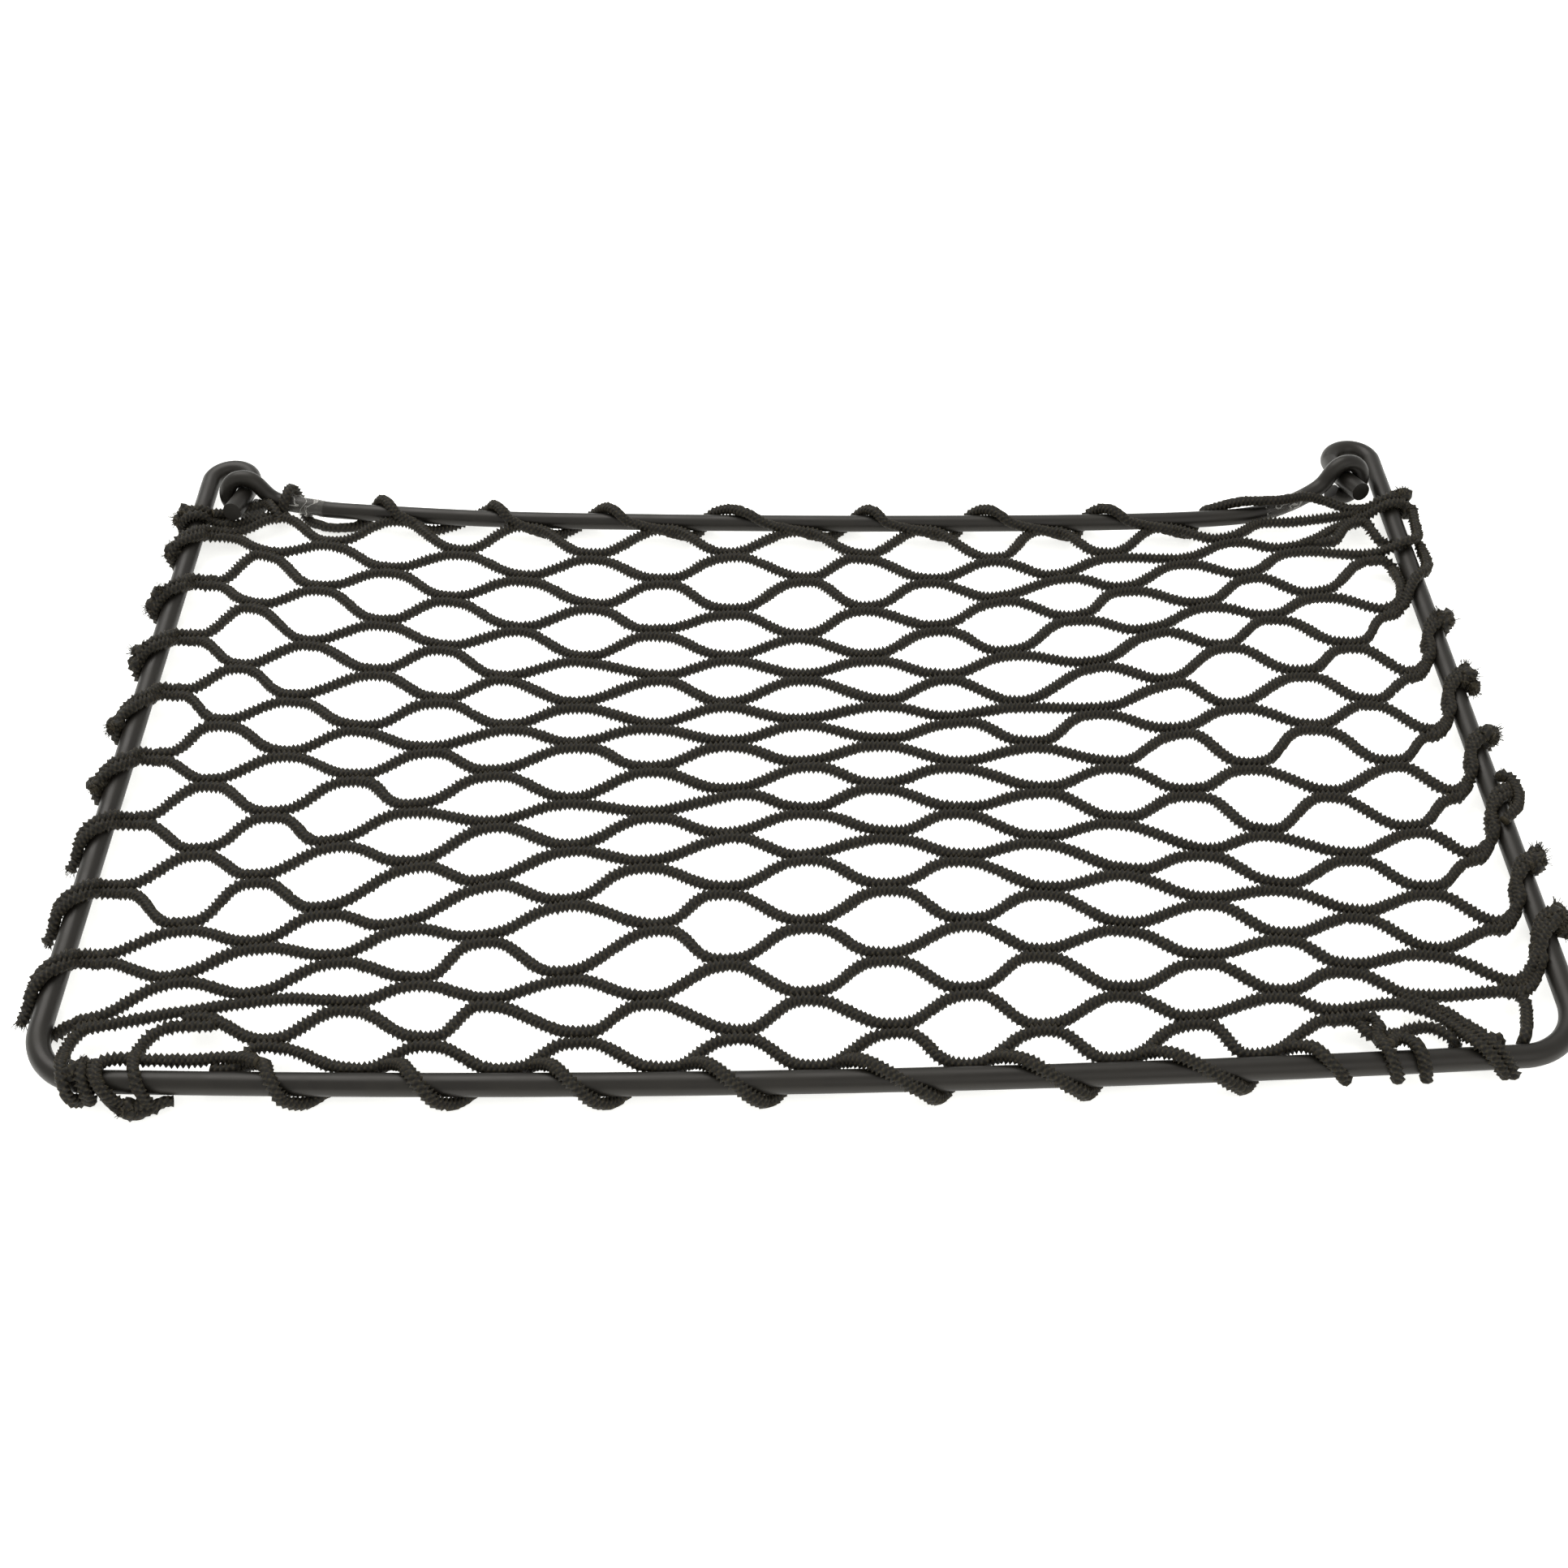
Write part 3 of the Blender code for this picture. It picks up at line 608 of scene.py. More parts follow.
# The net: braided strands from side to side, fused by turns to the one behind and in front
net = {
    "strands": 20,
    "halves": {"netBack": range(1, 11), "netFront": range(11, 21)},
    "lastColumn": 9,
    "halfWidth": 192.8,  # mm
    "frontPinch": 0.13,
    "backPinch": 0.08,
    "pinchStart": 12,
    "backLevels": 6.5,
    "short": (19, 20),
    "stationX": (-190, -132, -65, 2, 67, 132, 190),
    "columnX": {-9: -193.2, -5: -111, 0: 2, 5: 113, 9: 193.2},
    "cord": 3.1,
    "drawn": 3.08,  # mm across the middle of the braid's ripple
    "contact": 2.3,
    "edgeContact": 3,
    "drawnEnd": 191,  # mm: here the strands pass into the cords that are hitched
    "slack": 0.95,  # how far a leg follows the way of its junctions before it turns
    "slackSpread": (0.7, 1.3),
    "arch": 0.22,  # mm that a strand bows to its neighbour where they touch
    "pressed": 0.08,  # mm that it is pressed into its neighbour there
    "sag": 1.2,
    "clear": 0.3,  # mm between the net and a rod
    "stray": (1.7, 0.75),  # mm that a junction lies off its place, along and across
    "straySeed": 97,
    "legSteps": 12,
    "junctionSteps": 4,
    # no two hand-cut nets lie quite level: mm, and radians from point to point, across and up
    "waves": ((0.22, 0.23), (0.25, 0.31)),
    "phase": 6.28,
}
# distance of each line of junctions behind the front corners, in mm, at the seven stations
levels = [
    (231, 230, 226, 222, 221, 220.3, 219.5),
    (222, 213.2, 207, 205.7, 201.5, 206.8, 221),
    (216, 202, 195, 193.5, 191.8, 200.5, 208),
    (197, 190, 182.5, 179, 182.5, 189.2, 200),
    (188, 177, 170.5, 167, 170.8, 178.5, 182.5),
    (170, 165.8, 158, 157, 156.5, 169.5, 172),
    (157, 153, 148.8, 147.5, 148.2, 157.5, 157),
    (145, 140.8, 137.5, 136.5, 134, 145, 143),
    (133, 128, 128.2, 127.5, 128.8, 132, 130),
    (117, 118, 119.5, 119.5, 117, 122, 117.5),
    (105, 107.5, 109.2, 110.5, 109, 105.5, 106.5),
    (91, 94.8, 97, 101.2, 98, 95, 92.5),
    (77, 82, 90, 91.5, 89.5, 79, 78.5),
    (65, 69.5, 78.5, 82.2, 78.5, 70.5, 68.5),
    (49, 56, 69.5, 73, 69.8, 58.5, 55),
    (40, 46, 58.5, 61.8, 59.5, 50.5, 43),
    (28, 38.5, 46.8, 48.5, 47.2, 41.5, 31),
    (18, 29.2, 32, 37, 36.5, 32, 22),
    (16.5, 23, 23, 23.5, 23.5, 21.5, 16),
    (10, 11, 11.5, 12.2, 12.5, 13.8, 13),
    (4.5, -1, -3, -4, -6, 1.5, 17),
]


def columnX(column):
    known = sorted(net["columnX"])
    route = smoothRoute([Vector((c, net["columnX"][c], 0)) for c in known], smoothSteps["rod"])
    return atX(route, column).y


levelRoutes = [smoothRoute([Vector((x, y, 0)) for x, y in zip(net["stationX"], row)], smoothSteps["rod"])
               for row in levels]


def levelY(level, x):
    reach = net["stationX"][-1]
    y = atX(levelRoutes[level], max(-reach, min(reach, x))).y
    if level == 0:
        return min(y, barY(x) - backBar["radius"] - net["clear"])
    if level == net["strands"]:
        return max(y, frontRodY(x) + frameRod["radius"] + net["clear"])
    return y


def junctionX(column, level):
    front = max(0, (level - net["pinchStart"]) / (net["strands"] - net["pinchStart"]))
    pinch = net["frontPinch"] * front ** 2
    if column > 0:
        pinch += net["backPinch"] * max(0, 1 - level / net["backLevels"])
    return columnX(column) * (1 - pinch)


def netPoint(x, y):
    across = min(1, abs(x) / net["halfWidth"])
    middle = levels[net["strands"] // 2][len(net["stationX"]) // 2]
    along = min(1, abs(y - middle) / middle)
    return plan(x, y, place["rodHeight"] - net["sag"] * (1 - across ** 2) * (1 - along ** 2))


def junctionEnds(column, level):
    lift = 0
    if abs(column) == net["lastColumn"]:
        outer = math.copysign(net["drawnEnd"], column)
        xs = sorted((outer, outer - math.copysign(net["edgeContact"], column)))
    else:
        x = junctionX(column, level)
        if 0 < level < net["strands"]:
            chance = random.Random(column * net["straySeed"] + level)
            x += chance.uniform(-1, 1) * net["stray"][0]
            lift = chance.uniform(-1, 1) * net["stray"][1]
        xs = (x - net["contact"], x + net["contact"])
    return [Vector((x, levelY(level, x) + lift)) for x in xs]


def hermite(start, startWay, end, endWay, t):
    return ((2 * t ** 3 - 3 * t ** 2 + 1) * start + (t ** 3 - 2 * t ** 2 + t) * startWay
            + (3 * t ** 2 - 2 * t ** 3) * end + (t ** 3 - t ** 2) * endWay)


def strandRoute(number):
    reach = net["lastColumn"] - (1 if number in net["short"] else 0)
    route = []
    last = None
    for column in range(-reach, reach + 1):
        atCrest = (column + number - 1) % 2 == 0
        ends = junctionEnds(column, number - 1 if atCrest else number)
        way = (ends[1] - ends[0]).normalized()
        side = Vector((-way.y, way.x)) * (-1 if atCrest else 1)
        middles = [end + side * (net["cord"] / 2 - net["pressed"]) for end in ends]
        if last is not None:
            length = (middles[0] - last[0]).length * net["slack"] * dice.uniform(*net["slackSpread"])
            for i in range(1, net["legSteps"]):
                t = i / net["legSteps"]
                route.append(hermite(last[0], last[1] * length, middles[0], way * length, t))
        for k in range(net["junctionSteps"] + 1):
            t = k / net["junctionSteps"]
            bow = side * net["arch"] * math.sin(math.pi * t)
            route.append(middles[0].lerp(middles[1], t) - bow)
        last = (middles[1], way)
    route = [netPoint(p.x, p.y) for p in route]
    starts = [dice.uniform(0, net["phase"]) for wave in net["waves"]]
    for i, p in enumerate(route):
        waves = [high * math.sin(i * turn + start) for (high, turn), start in zip(net["waves"], starts)]
        route[i] = p + Vector((0, *waves)) * mm
    return route


def addNet(cordMaterial):
    for name, numbers in net["halves"].items():
        routes = [strandRoute(number) for number in numbers]
        obj = addPiece(name, braidMesh(name, routes, net["drawn"] / 2 * mm), cordMaterial,
                       ["net"], sharp=shape["never"])


# The lacings: cord wound round a rod and through the net's outer meshes
lacing = {
    "bumps": {"back": (-141, -103, -66, -27, 22, 60, 100, 139),
              "front": (-132.5, -94, -54, -13, 31, 69, 109, 137)},  # mm, where a turn stands out
    # distance along, turn round the rod and bulge, where it catches the net
    "catch": {"front": [(-5, -56, 0.1), (-1.5, -46, 0.7), (2, -34, 1.4), (5.5, -14, 1.4),
                        (9, 12, 0.8), (12, 40, 0.2)],
              "back": [(-12, -44, 0.2), (-8.5, -30, 0.5), (-4.5, -20, 0.9), (0, -12, 1.2),
                       (4.5, 8, 0.9), (9, 40, 0.2)]},
    "catchColumns": {"back": range(-6, 8, 2), "front": range(-8, 8, 2)},
    "radius": 1.6,
    "clear": 0.15,  # mm between the cord and its rod
    "lead": 8,  # mm between a turn and the catch after it
    "catchStep": 2,
    "turnStep": 45,
    # the first end, from the left hook's hitch to the bar; then along, turn round the bar and bulge
    "stay": [(-194.5, 227.6, 7.4), (-190, 226.8, 6.2), (-184, 228.6, 6.0), (-178.5, 231.0, 6.2)],
    "firstEnd": [
        (-173.4, 215, 0.9), (-172.4, 180, 0.8), (-171.4, 135, 0.7), (-170.6, 90, 0.7), (-169.8, 40, 0.7),
        (-168.6, -10, 0.7), (-167.2, -60, 0.7), (-165, -105, 0.8), (-161, -138, 1.2), (-157, -148, 1.8),
        (-152.5, -144, 1.4), (-147.5, -112, 0.4), (-144, -58, 0)],
    "stayTwin": [
        (-194.5, 228.6, 3.6), (-190.4, 230.9, 2.0), (-186.7, 234.4, 0.6), (-182.3, 235.8, 0.4),
        (-178.4, 236.5, 1.2), (-174.7, 232.0, 2.2), (-172.5, 228.5, 0.4)],
    # the last end leaves the bar and is carried across to the right side rod
    "lastEnd": [(149, 55, 0.3), (156, 88, 0.7), (163, 112, 1.0)],
    "across": [
        (171.7, 227.8, 3.2), (178.0, 227.9, 1.6), (186.4, 224.1, 0.6), (193.9, 223.0, 1.6),
        (199.4, 221.5, 4.4)],
}


def roundBar(x, turn, out):
    # a place on a cord round the back bar: turn 0 is behind it, 90 the top, 180 the net's side
    a = math.radians(turn - 90)
    way = Vector((0, -math.sin(a), math.cos(a)))
    return atX(bar, x * mm) + (backBar["radius"] + lacing["clear"] + lacing["radius"] + out) * mm * way


def lacingKnots(catches, bumps, caught):
    # distance along, turn and bulge; the cord catches the net and stands out behind by turns
    marks = sorted([(c, True) for c in catches] + [(b, False) for b in bumps])
    step = lacing["turnStep"]
    knots = []
    turn = 0
    soonest = -math.inf  # a turn needs some length before it catches the net
    for (x, catch), after in zip(marks, marks[1:]):
        nextX = after[0]
        if catch:
            for k, (along, angle, bulge) in enumerate(caught):
                here = max(x + along, soonest + lacing["catchStep"] * k)
                knots.append(Vector((here, turn + angle, bulge)))
            x = knots[-1].x
        else:
            knots.append(Vector((x, turn, 0)))
            soonest = x + lacing["lead"]
            nextX = max(nextX + caught[0][0], soonest)
        first = 2 * step if catch else step
        for angle in (first, first + step):
            share = (angle - first + step) / (3 * step)
            knots.append(Vector((x + (nextX - x) * share, turn + angle, 0)))
        turn += 180
    return knots + [Vector((marks[-1][0], turn, 0))]


def lacingRoute(rodPoint, rodRadius, catches, word):
    knots = smoothRoute(lacingKnots(catches, lacing["bumps"][word], lacing["catch"][word]),
                        smoothSteps["wound"])
    route = []
    for knot in knots:
        a = math.radians(knot.y - 90)
        out = Vector((0, -math.sin(a), math.cos(a)))
        reach = rodRadius + lacing["clear"] + lacing["radius"] + max(0, knot.z)
        p = rodPoint(knot.x) + reach * mm * out
        p.z = max(p.z, lacing["radius"] * mm)
        route.append(p)
    return route


def addLacings(cordMaterial):
    catches = [junctionX(c, 0) for c in lacing["catchColumns"]["back"]]
    route = lacingRoute(lambda x: atX(bar, x * mm), backBar["radius"], catches, "back")
    first = [plan(*row) for row in lacing["stay"]] + [roundBar(*row) for row in lacing["firstEnd"]]
    last = [route[-1]] + [roundBar(*row) for row in lacing["lastEnd"]]
    last += [plan(x, y, place["rodHeight"] + z) for x, y, z in lacing["across"]]
    twin = [plan(x, y, place["rodHeight"] + z) for x, y, z in lacing["stayTwin"]]
    wound = smoothRoute(first + [route[0]], smoothSteps["loose"])[:-1] + route[:-1]
    routes = [wound + smoothRoute(last, smoothSteps["loose"]), smoothRoute(twin, smoothSteps["loose"])]
    addPiece("lacingBack", braidMesh("lacingBack", routes, lacing["radius"] * mm), cordMaterial,
             ["lacing_back"], sharp=shape["never"])
    catches = [junctionX(c, net["strands"]) for c in lacing["catchColumns"]["front"]]
    route = lacingRoute(lambda x: plan(x, frontRodY(x)), frameRod["radius"], catches, "front")
    addPiece("lacingFront", braidMesh("lacingFront", [route], lacing["radius"] * mm), cordMaterial,
             ["lacing_front"], sharp=shape["never"])


# The hitches: each pair of strand ends goes over a side rod and is knotted outside it
hitch = {
    "radius": 1.55,
    "clear": 0.1,  # mm between a cord and the rod
    "roughness": {"side": 1.8, "front": 1.6},
    "firstEdge": 229.5,  # mm behind the front corners, where the backmost pair leaves the net
    # mm along the rod between where a pair leaves the net and where it comes out on the far side
    "left": (-3, -12, -14, -14, -17, -14, -12, -12.5, -13),
    "leftApart": (1.5, -1.5),
    "leftStart": ((-188.5, 1), (-192, 0.95)),  # x in mm, and the share that the pair is still apart
    "leftFirst": (0.5, 14),  # mm to the front, and degrees round the rod
    "leftOver": (45, 85, 125, 160),
    "slackOut": 0.1,  # mm more off the rod
    "leftTurn": 170,  # degrees at which a pair has gone its whole way along the rod
    "leftEase": {True: 1.15, False: 0.9},  # for a pair with a loose tail, and for the others
    "leftLift": (0, 0.25),
    "leftUnder": ((200, 0), (235, 0.8), (262, 1.4)),  # degrees, and mm back along the rod
    "leftKnots": ((0.8, 160, 0.3, 1.8), (3.4, 135, 0.5, 1.4)),  # along, degrees, out and size
    "twoKnots": (0, 2, 3),
    "hanging": (6, 7, 8),  # on the left, these end in loose tails
    "tail": (4, 4, 6),  # mm, of the hanging pairs
    "tailBack": 2.6,
    "tailTurns": ((186, 0.5), (196, 2.0)),
    "climb": 22,  # mm: on the right, the pair climbs the rod's inner side before it goes over
    "climbSpread": (-1.5, 1.5),
    "rightApart": ((1.3, 0), (-1.3, 24)),  # mm, and the degrees that a cord lags
    "rightStart": ((187, 0, 1.15), (190.2, 0.4, 0.95), (193.2, 3.2, 0.6)),
    "rightInner": (7, 30, 0.4),  # mm, degrees, and the share that the pair is still apart
    # degrees, the share of the lag that is left, and the share of the climb
    "rightOver": ((38, 1, 0.52), (50, 0.5, 0.68), (68, 0, 0.8), (95, 0, 0.89), (126, 0, 0.96),
                  (158, 0, 1.0)),
    "rightSpread": 0.9,
    "rightUnder": (200, 240, 265),
    "rightBeyond": 1.0,
    "rightKnots": ((-2.5, 118, 0.3, 2.0), (0.5, 140, 0.2, 1.6), (-4.5, 150, 0.4, 1.5)),
    "noKnot": 7,  # this pair ends under the rod, untied
    "pairs": {"left": range(9), "right": range(4, 10)},
    "topKnots": ((204.6, 226.6, 3.0, 2.0), (206.0, 221.6, 1.4, 1.6)),  # x, y, height and size
    "frontKnots": ((-186.2, 0.2, 4.2, 1.6), (-171.8, -6.8, -2.6, 1.6)),
    "frontNodes": ("hitch_left_1", "hitch_left_2", "hitch_right_1", "hitch_right_2", "hitch_right_3"),
    "knotSteps": 62,
    "knotDepth": 1.25,
    "cutEnd": 1.2,  # mm that a cut end stands out of its knot
    "cutEndRise": (-0.2, 0.7),
    "node": (9, 1, 2, 3, 4, 5, 6, 7, 8),
}
frayEnds = []


def roundRod(side, y, turn, out=0.0):
    # a place on a cord round a side rod: turn 0 is the net's side, 90 the top, 180 outside
    a = math.radians(turn)
    reach = (frameRod["radius"] + hitch["clear"] + hitch["radius"] + out) * mm
    centre = plan(side * frameRod["width"] / 2, y)
    p = centre + Vector((-side * math.cos(a) * reach, 0, math.sin(a) * reach))
    p.z = max(p.z, hitch["radius"] * mm)
    return p


def knotRoute(centre, size, turn):
    # a small tight knot: the closed three-lobed loop, cut open
    route = []
    for i in range(hitch["knotSteps"] - 1):
        a = 2 * math.pi * i / hitch["knotSteps"]
        p = Vector((math.sin(a) + 2 * math.sin(2 * a), math.cos(a) - 2 * math.cos(2 * a),
                    -hitch["knotDepth"] * math.sin(3 * a)))
        route.append(centre + turn @ (p * size / 3))
    return route


def tiedKnot(routes, spot, size):
    # a knot and two short cut ends that stick out of it
    turn = Matrix.Rotation(dice.uniform(0, 3), 3, "Y") @ Matrix.Rotation(dice.uniform(0, 3), 3, "X")
    knot = knotRoute(spot, size * mm, turn)
    routes.append([Vector((p.x, p.y, max(p.z, hitch["radius"] * mm))) for p in knot])
    for k in range(2):
        rise = hitch["cutEndRise"]
        way = Vector((dice.uniform(-1, 1), dice.uniform(-1, 1), dice.uniform(*rise))).normalized()
        tip = spot + way * (size + hitch["cutEnd"]) * mm
        tip.z = max(tip.z, hitch["radius"] * mm)
        routes.append([spot, spot.lerp(tip, 0.5), tip])
        frayEnds.append((tip, way))


def edgeOf(side, index):
    # where the pair leaves the net, in mm behind the front corners
    return hitch["firstEdge"] if index == 0 else levelY(2 * index - 1, side * net["halfWidth"])


def leftPair(routes, index):
    # two cords side by side over the rod, sloping to the front; they end under it or hang
    start, lead = edgeOf(-1, index), hitch["left"][index]
    loose = index in hitch["hanging"]
    for offset in hitch["leftApart"]:
        points = [plan(x, start + offset * share) for x, share in hitch["leftStart"]]
        points.append(roundRod(-1, start - hitch["leftFirst"][0] + offset, hitch["leftFirst"][1]))
        lift = dice.uniform(*hitch["leftLift"])
        for turn in hitch["leftOver"]:
            share = (turn / hitch["leftTurn"]) ** hitch["leftEase"][loose]
            points.append(roundRod(-1, start + offset + lead * share, turn, lift))
        end = start + offset + lead
        if loose and offset > 0:
            tail = hitch["tail"][hitch["hanging"].index(index)]
            (turn, out), (tipTurn, tipOut) = hitch["tailTurns"]
            points.append(roundRod(-1, end - hitch["tailBack"], turn, out))
            tip = roundRod(-1, end - hitch["tailBack"] - tail, tipTurn, tipOut)
            points.append(tip)
            frayEnds.append((tip, (tip - points[-2]).normalized()))
        else:
            for turn, back in hitch["leftUnder"]:
                points.append(roundRod(-1, end + back, turn, hitch["slackOut"]))
        routes.append(smoothRoute(points, smoothSteps["wound"]))
    if not loose:
        count = 2 if index in hitch["twoKnots"] else 1
        for along, turn, out, size in hitch["leftKnots"][:count]:
            tiedKnot(routes, roundRod(-1, start + lead + along, turn, out), size)


# the hitches by the right hook: x and y in mm, and height over the rod's middle
rightTop = {
    "hookPair": [
        (187.5, 222.6, 0), (191.5, 223.2, 0.8), (195.6, 223.6, 3.6), (199.5, 224.4, 4.9),
        (203.2, 226.2, 3.6), (205.2, 227.6, 0), (203.4, 227, -3.6), (200, 226.4, -4.6)],
    "hookPairTwin": [
        (187.5, 219.4, 0), (191.4, 220.0, 0.8), (195.8, 220.8, 3.6), (199.8, 221.4, 4.9),
        (203.4, 222.8, 3.4), (205.0, 223.6, 0), (203.4, 224, -3.6)],
    "stub": [
        (187, 200.6, 0), (192.6, 200.8, 1.2), (197.6, 200.4, 4.7), (202.0, 202.4, 4.6),
        (204.4, 204.6, 3.4), (205.4, 208.8, 2.4), (206.0, 214.0, 2.2), (206.4, 219.4, 2.4)],
    "stubTwin": [(187, 197.6, 0), (191.6, 197.4, 0.2), (194.8, 196.2, -1.2), (195.6, 193.6, -3.0)],
    "slack": [
        (187, 171.0, 0), (191.4, 172.4, 0.2), (194.6, 176.4, 1.4), (196.6, 180.6, 3.6),
        (199.4, 184.2, 4.8), (202.6, 187.4, 4.0), (204.6, 191.4, 2.2), (205.4, 196.4, 1.4),
        (205.4, 200.4, 1.2), (204.8, 203.4, 2.2)],
    "slackTwin": [
        (187, 174.0, 0), (190.8, 175.2, 0.2), (193.6, 179.0, 0.6), (195.0, 184.6, 0.4),
        (195.2, 190.6, -0.6), (195.4, 195.0, -2.0)],
    "arch": [
        (168.1, 208.7, -0.8), (171.6, 207.6, -0.5), (175.3, 207.6, 0.0), (178.9, 208.5, 0.2),
        (184.0, 215.2, 0.8), (189.8, 216.1, 1.0), (191.7, 212.3, 0.6), (193.1, 208.3, 0.0),
        (196.7, 207.7, -1.6)],
    "openLoop": [
        (198.4, 77.5, 4.7), (201.2, 80.0, 4.9), (203.8, 83.4, 4.6), (205.2, 88.2, 4.2),
        (204.8, 93.2, 4.2), (203.0, 95.6, 4.4), (201.6, 94.0, 4.9)],
}


def addRightTop(routes):
    for rows in rightTop.values():
        points = [plan(x, y, place["rodHeight"] + z) for x, y, z in rows]
        routes.append(smoothRoute(points, smoothSteps["loose"]))
    for name in ("stub", "openLoop"):
        frayEnds.append((routes[list(rightTop).index(name)][-1], Vector((0, 1, 0))))
    for x, y, z, size in hitch["topKnots"]:
        tiedKnot(routes, plan(x, y, place["rodHeight"] + z), size)


def rightPair(routes, index):
    # the pair climbs along the rod's inner side, goes over it and is knotted outside
    start = edgeOf(1, index)
    climb = hitch["climb"] + dice.uniform(*hitch["climbSpread"])
    inner, innerTurn, innerShare = hitch["rightInner"]
    for offset, lag in hitch["rightApart"]:
        points = [plan(x, start + on + offset * share) for x, on, share in hitch["rightStart"]]
        points.append(roundRod(1, start + inner + offset * innerShare, innerTurn - lag))
        for turn, left, share in hitch["rightOver"]:
            y = start + offset * hitch["rightSpread"] + climb * share
            points.append(roundRod(1, y, turn - lag * left, hitch["slackOut"]))
        for turn in hitch["rightUnder"]:
            points.append(roundRod(1, start + offset + climb + hitch["rightBeyond"], turn))
        routes.append(smoothRoute(points, smoothSteps["wound"]))
    if index == hitch["noKnot"]:
        return
    count = 3 if index % 2 else 2
    for along, turn, out, size in hitch["rightKnots"][:count]:
        tiedKnot(routes, roundRod(1, start + climb + along, turn, out), size)


def addSideHitches(cordMaterial):
    for word, addPair in (("left", leftPair), ("right", rightPair)):
        routes = []
        if word == "right":
            addRightTop(routes)
        for index in hitch["pairs"][word]:
            addPair(routes, index)
        nodes = [f"hitch_{word}_side_{number}" for number in hitch["node"]]
        name = "sideHitches" + word.capitalize()
        addPiece(name, braidMesh(name, routes, hitch["radius"] * mm, hitch["roughness"]["side"]),
                 cordMaterial, nodes, sharp=shape["never"])


# loose cord by the front corners: x and y in mm, and height over the rod's middle
looseCords = {
    "cutEndOne": [
        (136, 12.0, 0.4), (142, 13.0, 0.4), (147.0, 12.8, 0.6), (148.6, 9.6, 1.0), (147.4, 5.8, 1.8),
        (147.2, 1.4, 4.4), (148.2, -2.4, 4.7), (149.6, -5.2, 2.0), (150.2, -6.2, -1.0)],
    "cutEndTwo": [
        (149.2, 2.8, 3.4), (152.4, 3.6, 3.6), (154.8, 1.8, 4.4), (156.0, -1.8, 4.9), (157.0, -5.0, 2.2),
        (157.6, -6.2, -1.0)],
    "arch": [
        (148.8, 1.4, 4.6), (152.0, 4.8, 3.0), (156.2, 7.6, 2.0), (161.2, 8.8, 1.2), (164.8, 6.6, 1.4),
        (166.6, 4.4, 1.2), (167.6, 4.0, -1.4)],
    "thickEndOne": [
        (155.0, 18.2, 0), (161.0, 15.6, 0), (165.6, 11.8, 0.6), (168.2, 6.6, 2.6), (170.4, 1.6, 4.8),
        (173.4, -2.0, 4.8), (176.4, -5.0, 1.8), (177.6, -5.8, -0.4)],
    "thickEndTwo": [
        (156.0, 20.4, 0), (162.6, 17.4, 0), (167.8, 13.0, 0.6), (170.6, 7.6, 2.6), (173.0, 2.6, 4.8),
        (176.0, -1.2, 4.6), (178.8, -4.8, 1.6), (179.8, -5.6, -0.6)],
    "peeking": [(174.8, 4.4, -2.0), (175.6, 4.4, 1.2), (177.6, 4.6, 1.8), (179.0, 4.6, -1.2)],
    "rightLeg": [
        (184, 20.6, 0), (187.8, 20.0, 0), (188.6, 16.4, 0), (187.4, 11.0, 0.2), (185.6, 6.0, 0.8),
        (184.8, 4.6, -1.8)],
    "rightStay": [
        (184, 23.4, 0), (188.4, 24.0, 0), (192.0, 26.6, 0.6), (195.2, 31.0, 2.6), (197.8, 36.0, 4.6),
        (201.6, 39.8, 4.6), (204.4, 41.8, 1.4), (204.2, 42.6, -2.4)],
    "leftLeg": [
        (-184, 18.4, 0), (-188.6, 16.6, 0), (-191.2, 12.0, 0.2), (-191.0, 6.4, 1.6), (-189.6, 1.4, 4.6),
        (-188.2, -3.2, 3.8), (-187.0, -4.9, -0.6), (-185.6, -2.8, -4.0), (-184.6, 2.0, -4.0),
        (-185.0, 4.7, 0.0), (-184.8, 2.6, 3.9), (-183.8, -1.4, 4.8), (-182.6, -4.6, 1.6),
        (-182.0, -4.9, -2.2)],
    "leftUnder": [
        (-186, 19.6, 0), (-190.0, 19.2, -0.4), (-194.0, 18.6, -1.8), (-197.4, 18.0, -4.0),
        (-200.4, 17.6, -4.4)],
    "dropOne": [
        (-154.0, 17.2, 0), (-160.5, 17.0, 0), (-166.5, 16.6, 0), (-170.8, 13.2, 0.2), (-172.4, 7.6, 1.2),
        (-171.4, 2.2, 4.4), (-170.0, -2.4, 4.5), (-168.4, -5.2, 0.8), (-166.6, -6.2, -2.4),
        (-164.8, -6.4, -3.6)],
    "slackLoop": [
        (-139.5, 2.2, 4.2), (-143.5, 4.6, 2.4), (-149.0, 5.8, 1.2), (-156.0, 5.2, 1.2),
        (-164.0, 4.8, 1.8), (-171.5, 4.8, 2.4), (-176.6, 4.6, 3.2), (-180.2, 2.2, 4.4),
        (-179.6, -2.4, 4.2), (-177.2, -5.6, 0.6), (-174.2, -7.2, -2.4), (-170.6, -7.8, -3.8),
        (-167.0, -6.6, -3.2), (-164.0, -5.2, -2.4), (-161.4, -4.4, -3.0)],
    "slackLoopTwin": [
        (-181.2, 4.6, 0.6), (-181.8, 2.4, 3.6), (-180.6, -1.6, 4.8), (-177.8, -5.0, 2.4),
        (-174.8, -6.2, -0.8), (-171.2, -6.6, -2.2), (-168.2, -5.6, -1.4)],
}


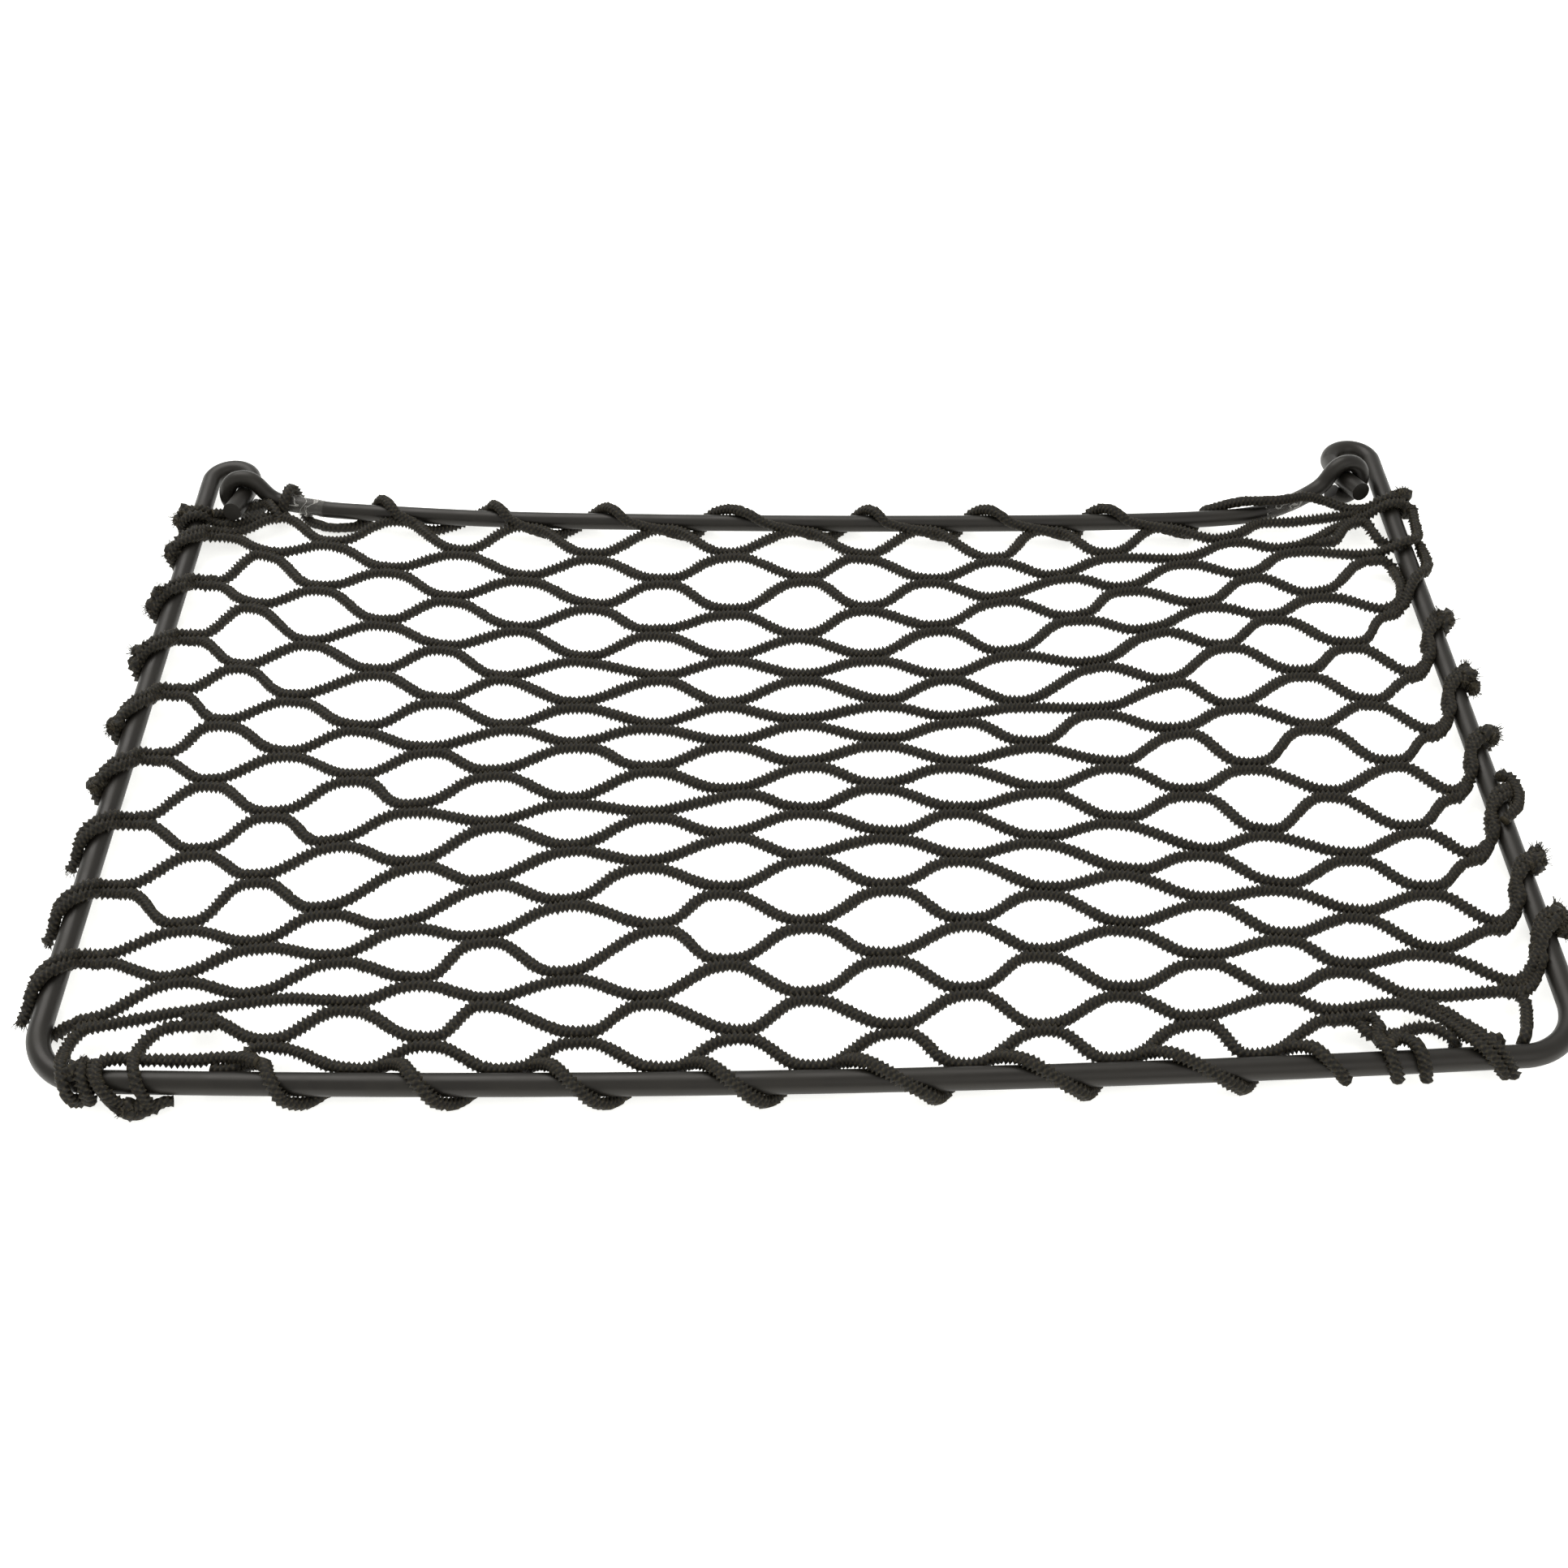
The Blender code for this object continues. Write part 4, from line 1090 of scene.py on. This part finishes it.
def addFrontHitches(cordMaterial):
    routes = []
    for rows in looseCords.values():
        points = [plan(x, y, max(place["rodHeight"] + z, hitch["radius"])) for x, y, z in rows]
        routes.append(smoothRoute(points, smoothSteps["loose"]))
    for x, y, z, size in hitch["frontKnots"]:
        tiedKnot(routes, plan(x, y, place["rodHeight"] + z), size)
    mesh = braidMesh("frontHitches", routes, hitch["radius"] * mm, hitch["roughness"]["front"])
    addPiece("frontHitches", mesh, cordMaterial, hitch["frontNodes"], sharp=shape["never"])


# Frayed ends: tufts of loose filament where a cord was cut
fray = {
    "fibres": 26,
    "length": 2.6,  # mm
    "shortest": 0.3,  # share of the length
    "radius": 0.09,
    "spread": 0.75,
    "inset": 0.6,
    "ring": (0.2, 1.2),
    "bend": 0.4,
    "spans": 3,
    "lowest": 0.1,
}


def addFrays(cordMaterial):
    curve = bpy.data.curves.new("frays", "CURVE")
    curve.dimensions = "3D"
    curve.bevel_depth = fray["radius"] * mm
    curve.bevel_resolution = 0
    curve.use_fill_caps = True
    for tip, way in frayEnds:
        side = way.orthogonal().normalized()
        for k in range(fray["fibres"]):
            a = dice.uniform(0, 2 * math.pi)
            out = Matrix.Rotation(a, 3, way) @ side
            root = tip - way * fray["inset"] * mm + out * dice.uniform(*fray["ring"]) * mm
            lean = (way + out * dice.uniform(0, fray["spread"])).normalized()
            length = fray["length"] * dice.uniform(fray["shortest"], 1) * mm
            bend = Vector([dice.uniform(-fray["bend"], fray["bend"]) for axis in range(3)]) * mm
            spline = curve.splines.new("POLY")
            spline.points.add(fray["spans"])
            for i, point in enumerate(spline.points):
                p = root + lean * length * i / fray["spans"] + bend * (i / fray["spans"]) ** 2
                point.co = (p.x, p.y, max(p.z, fray["lowest"] * mm), 1)
    holder = bpy.data.objects.new("frays", curve)
    bpy.context.scene.collection.objects.link(holder)
    mesh = bpy.data.meshes.new_from_object(holder.evaluated_get(bpy.context.evaluated_depsgraph_get()))
    bpy.data.objects.remove(holder)
    for layer in mesh.uv_layers:
        layer.name = "braid"
    addPiece("frayedEnds", mesh, cordMaterial, [], sharp=shape["never"])


addCamera()
addStudio()
print("stage and camera ready")
addRods()
addSleeves()
print("rods and film ready")
addNet(braidedPolyester("braidedPolyesterNet"))
addLacings(braidedPolyester("braidedPolyesterLacing"))
print("net and lacings ready")
knotted = braidedPolyester("braidedPolyesterHitches")
addSideHitches(knotted)
addFrontHitches(knotted)
addFrays(knotted)
print("hitches ready")
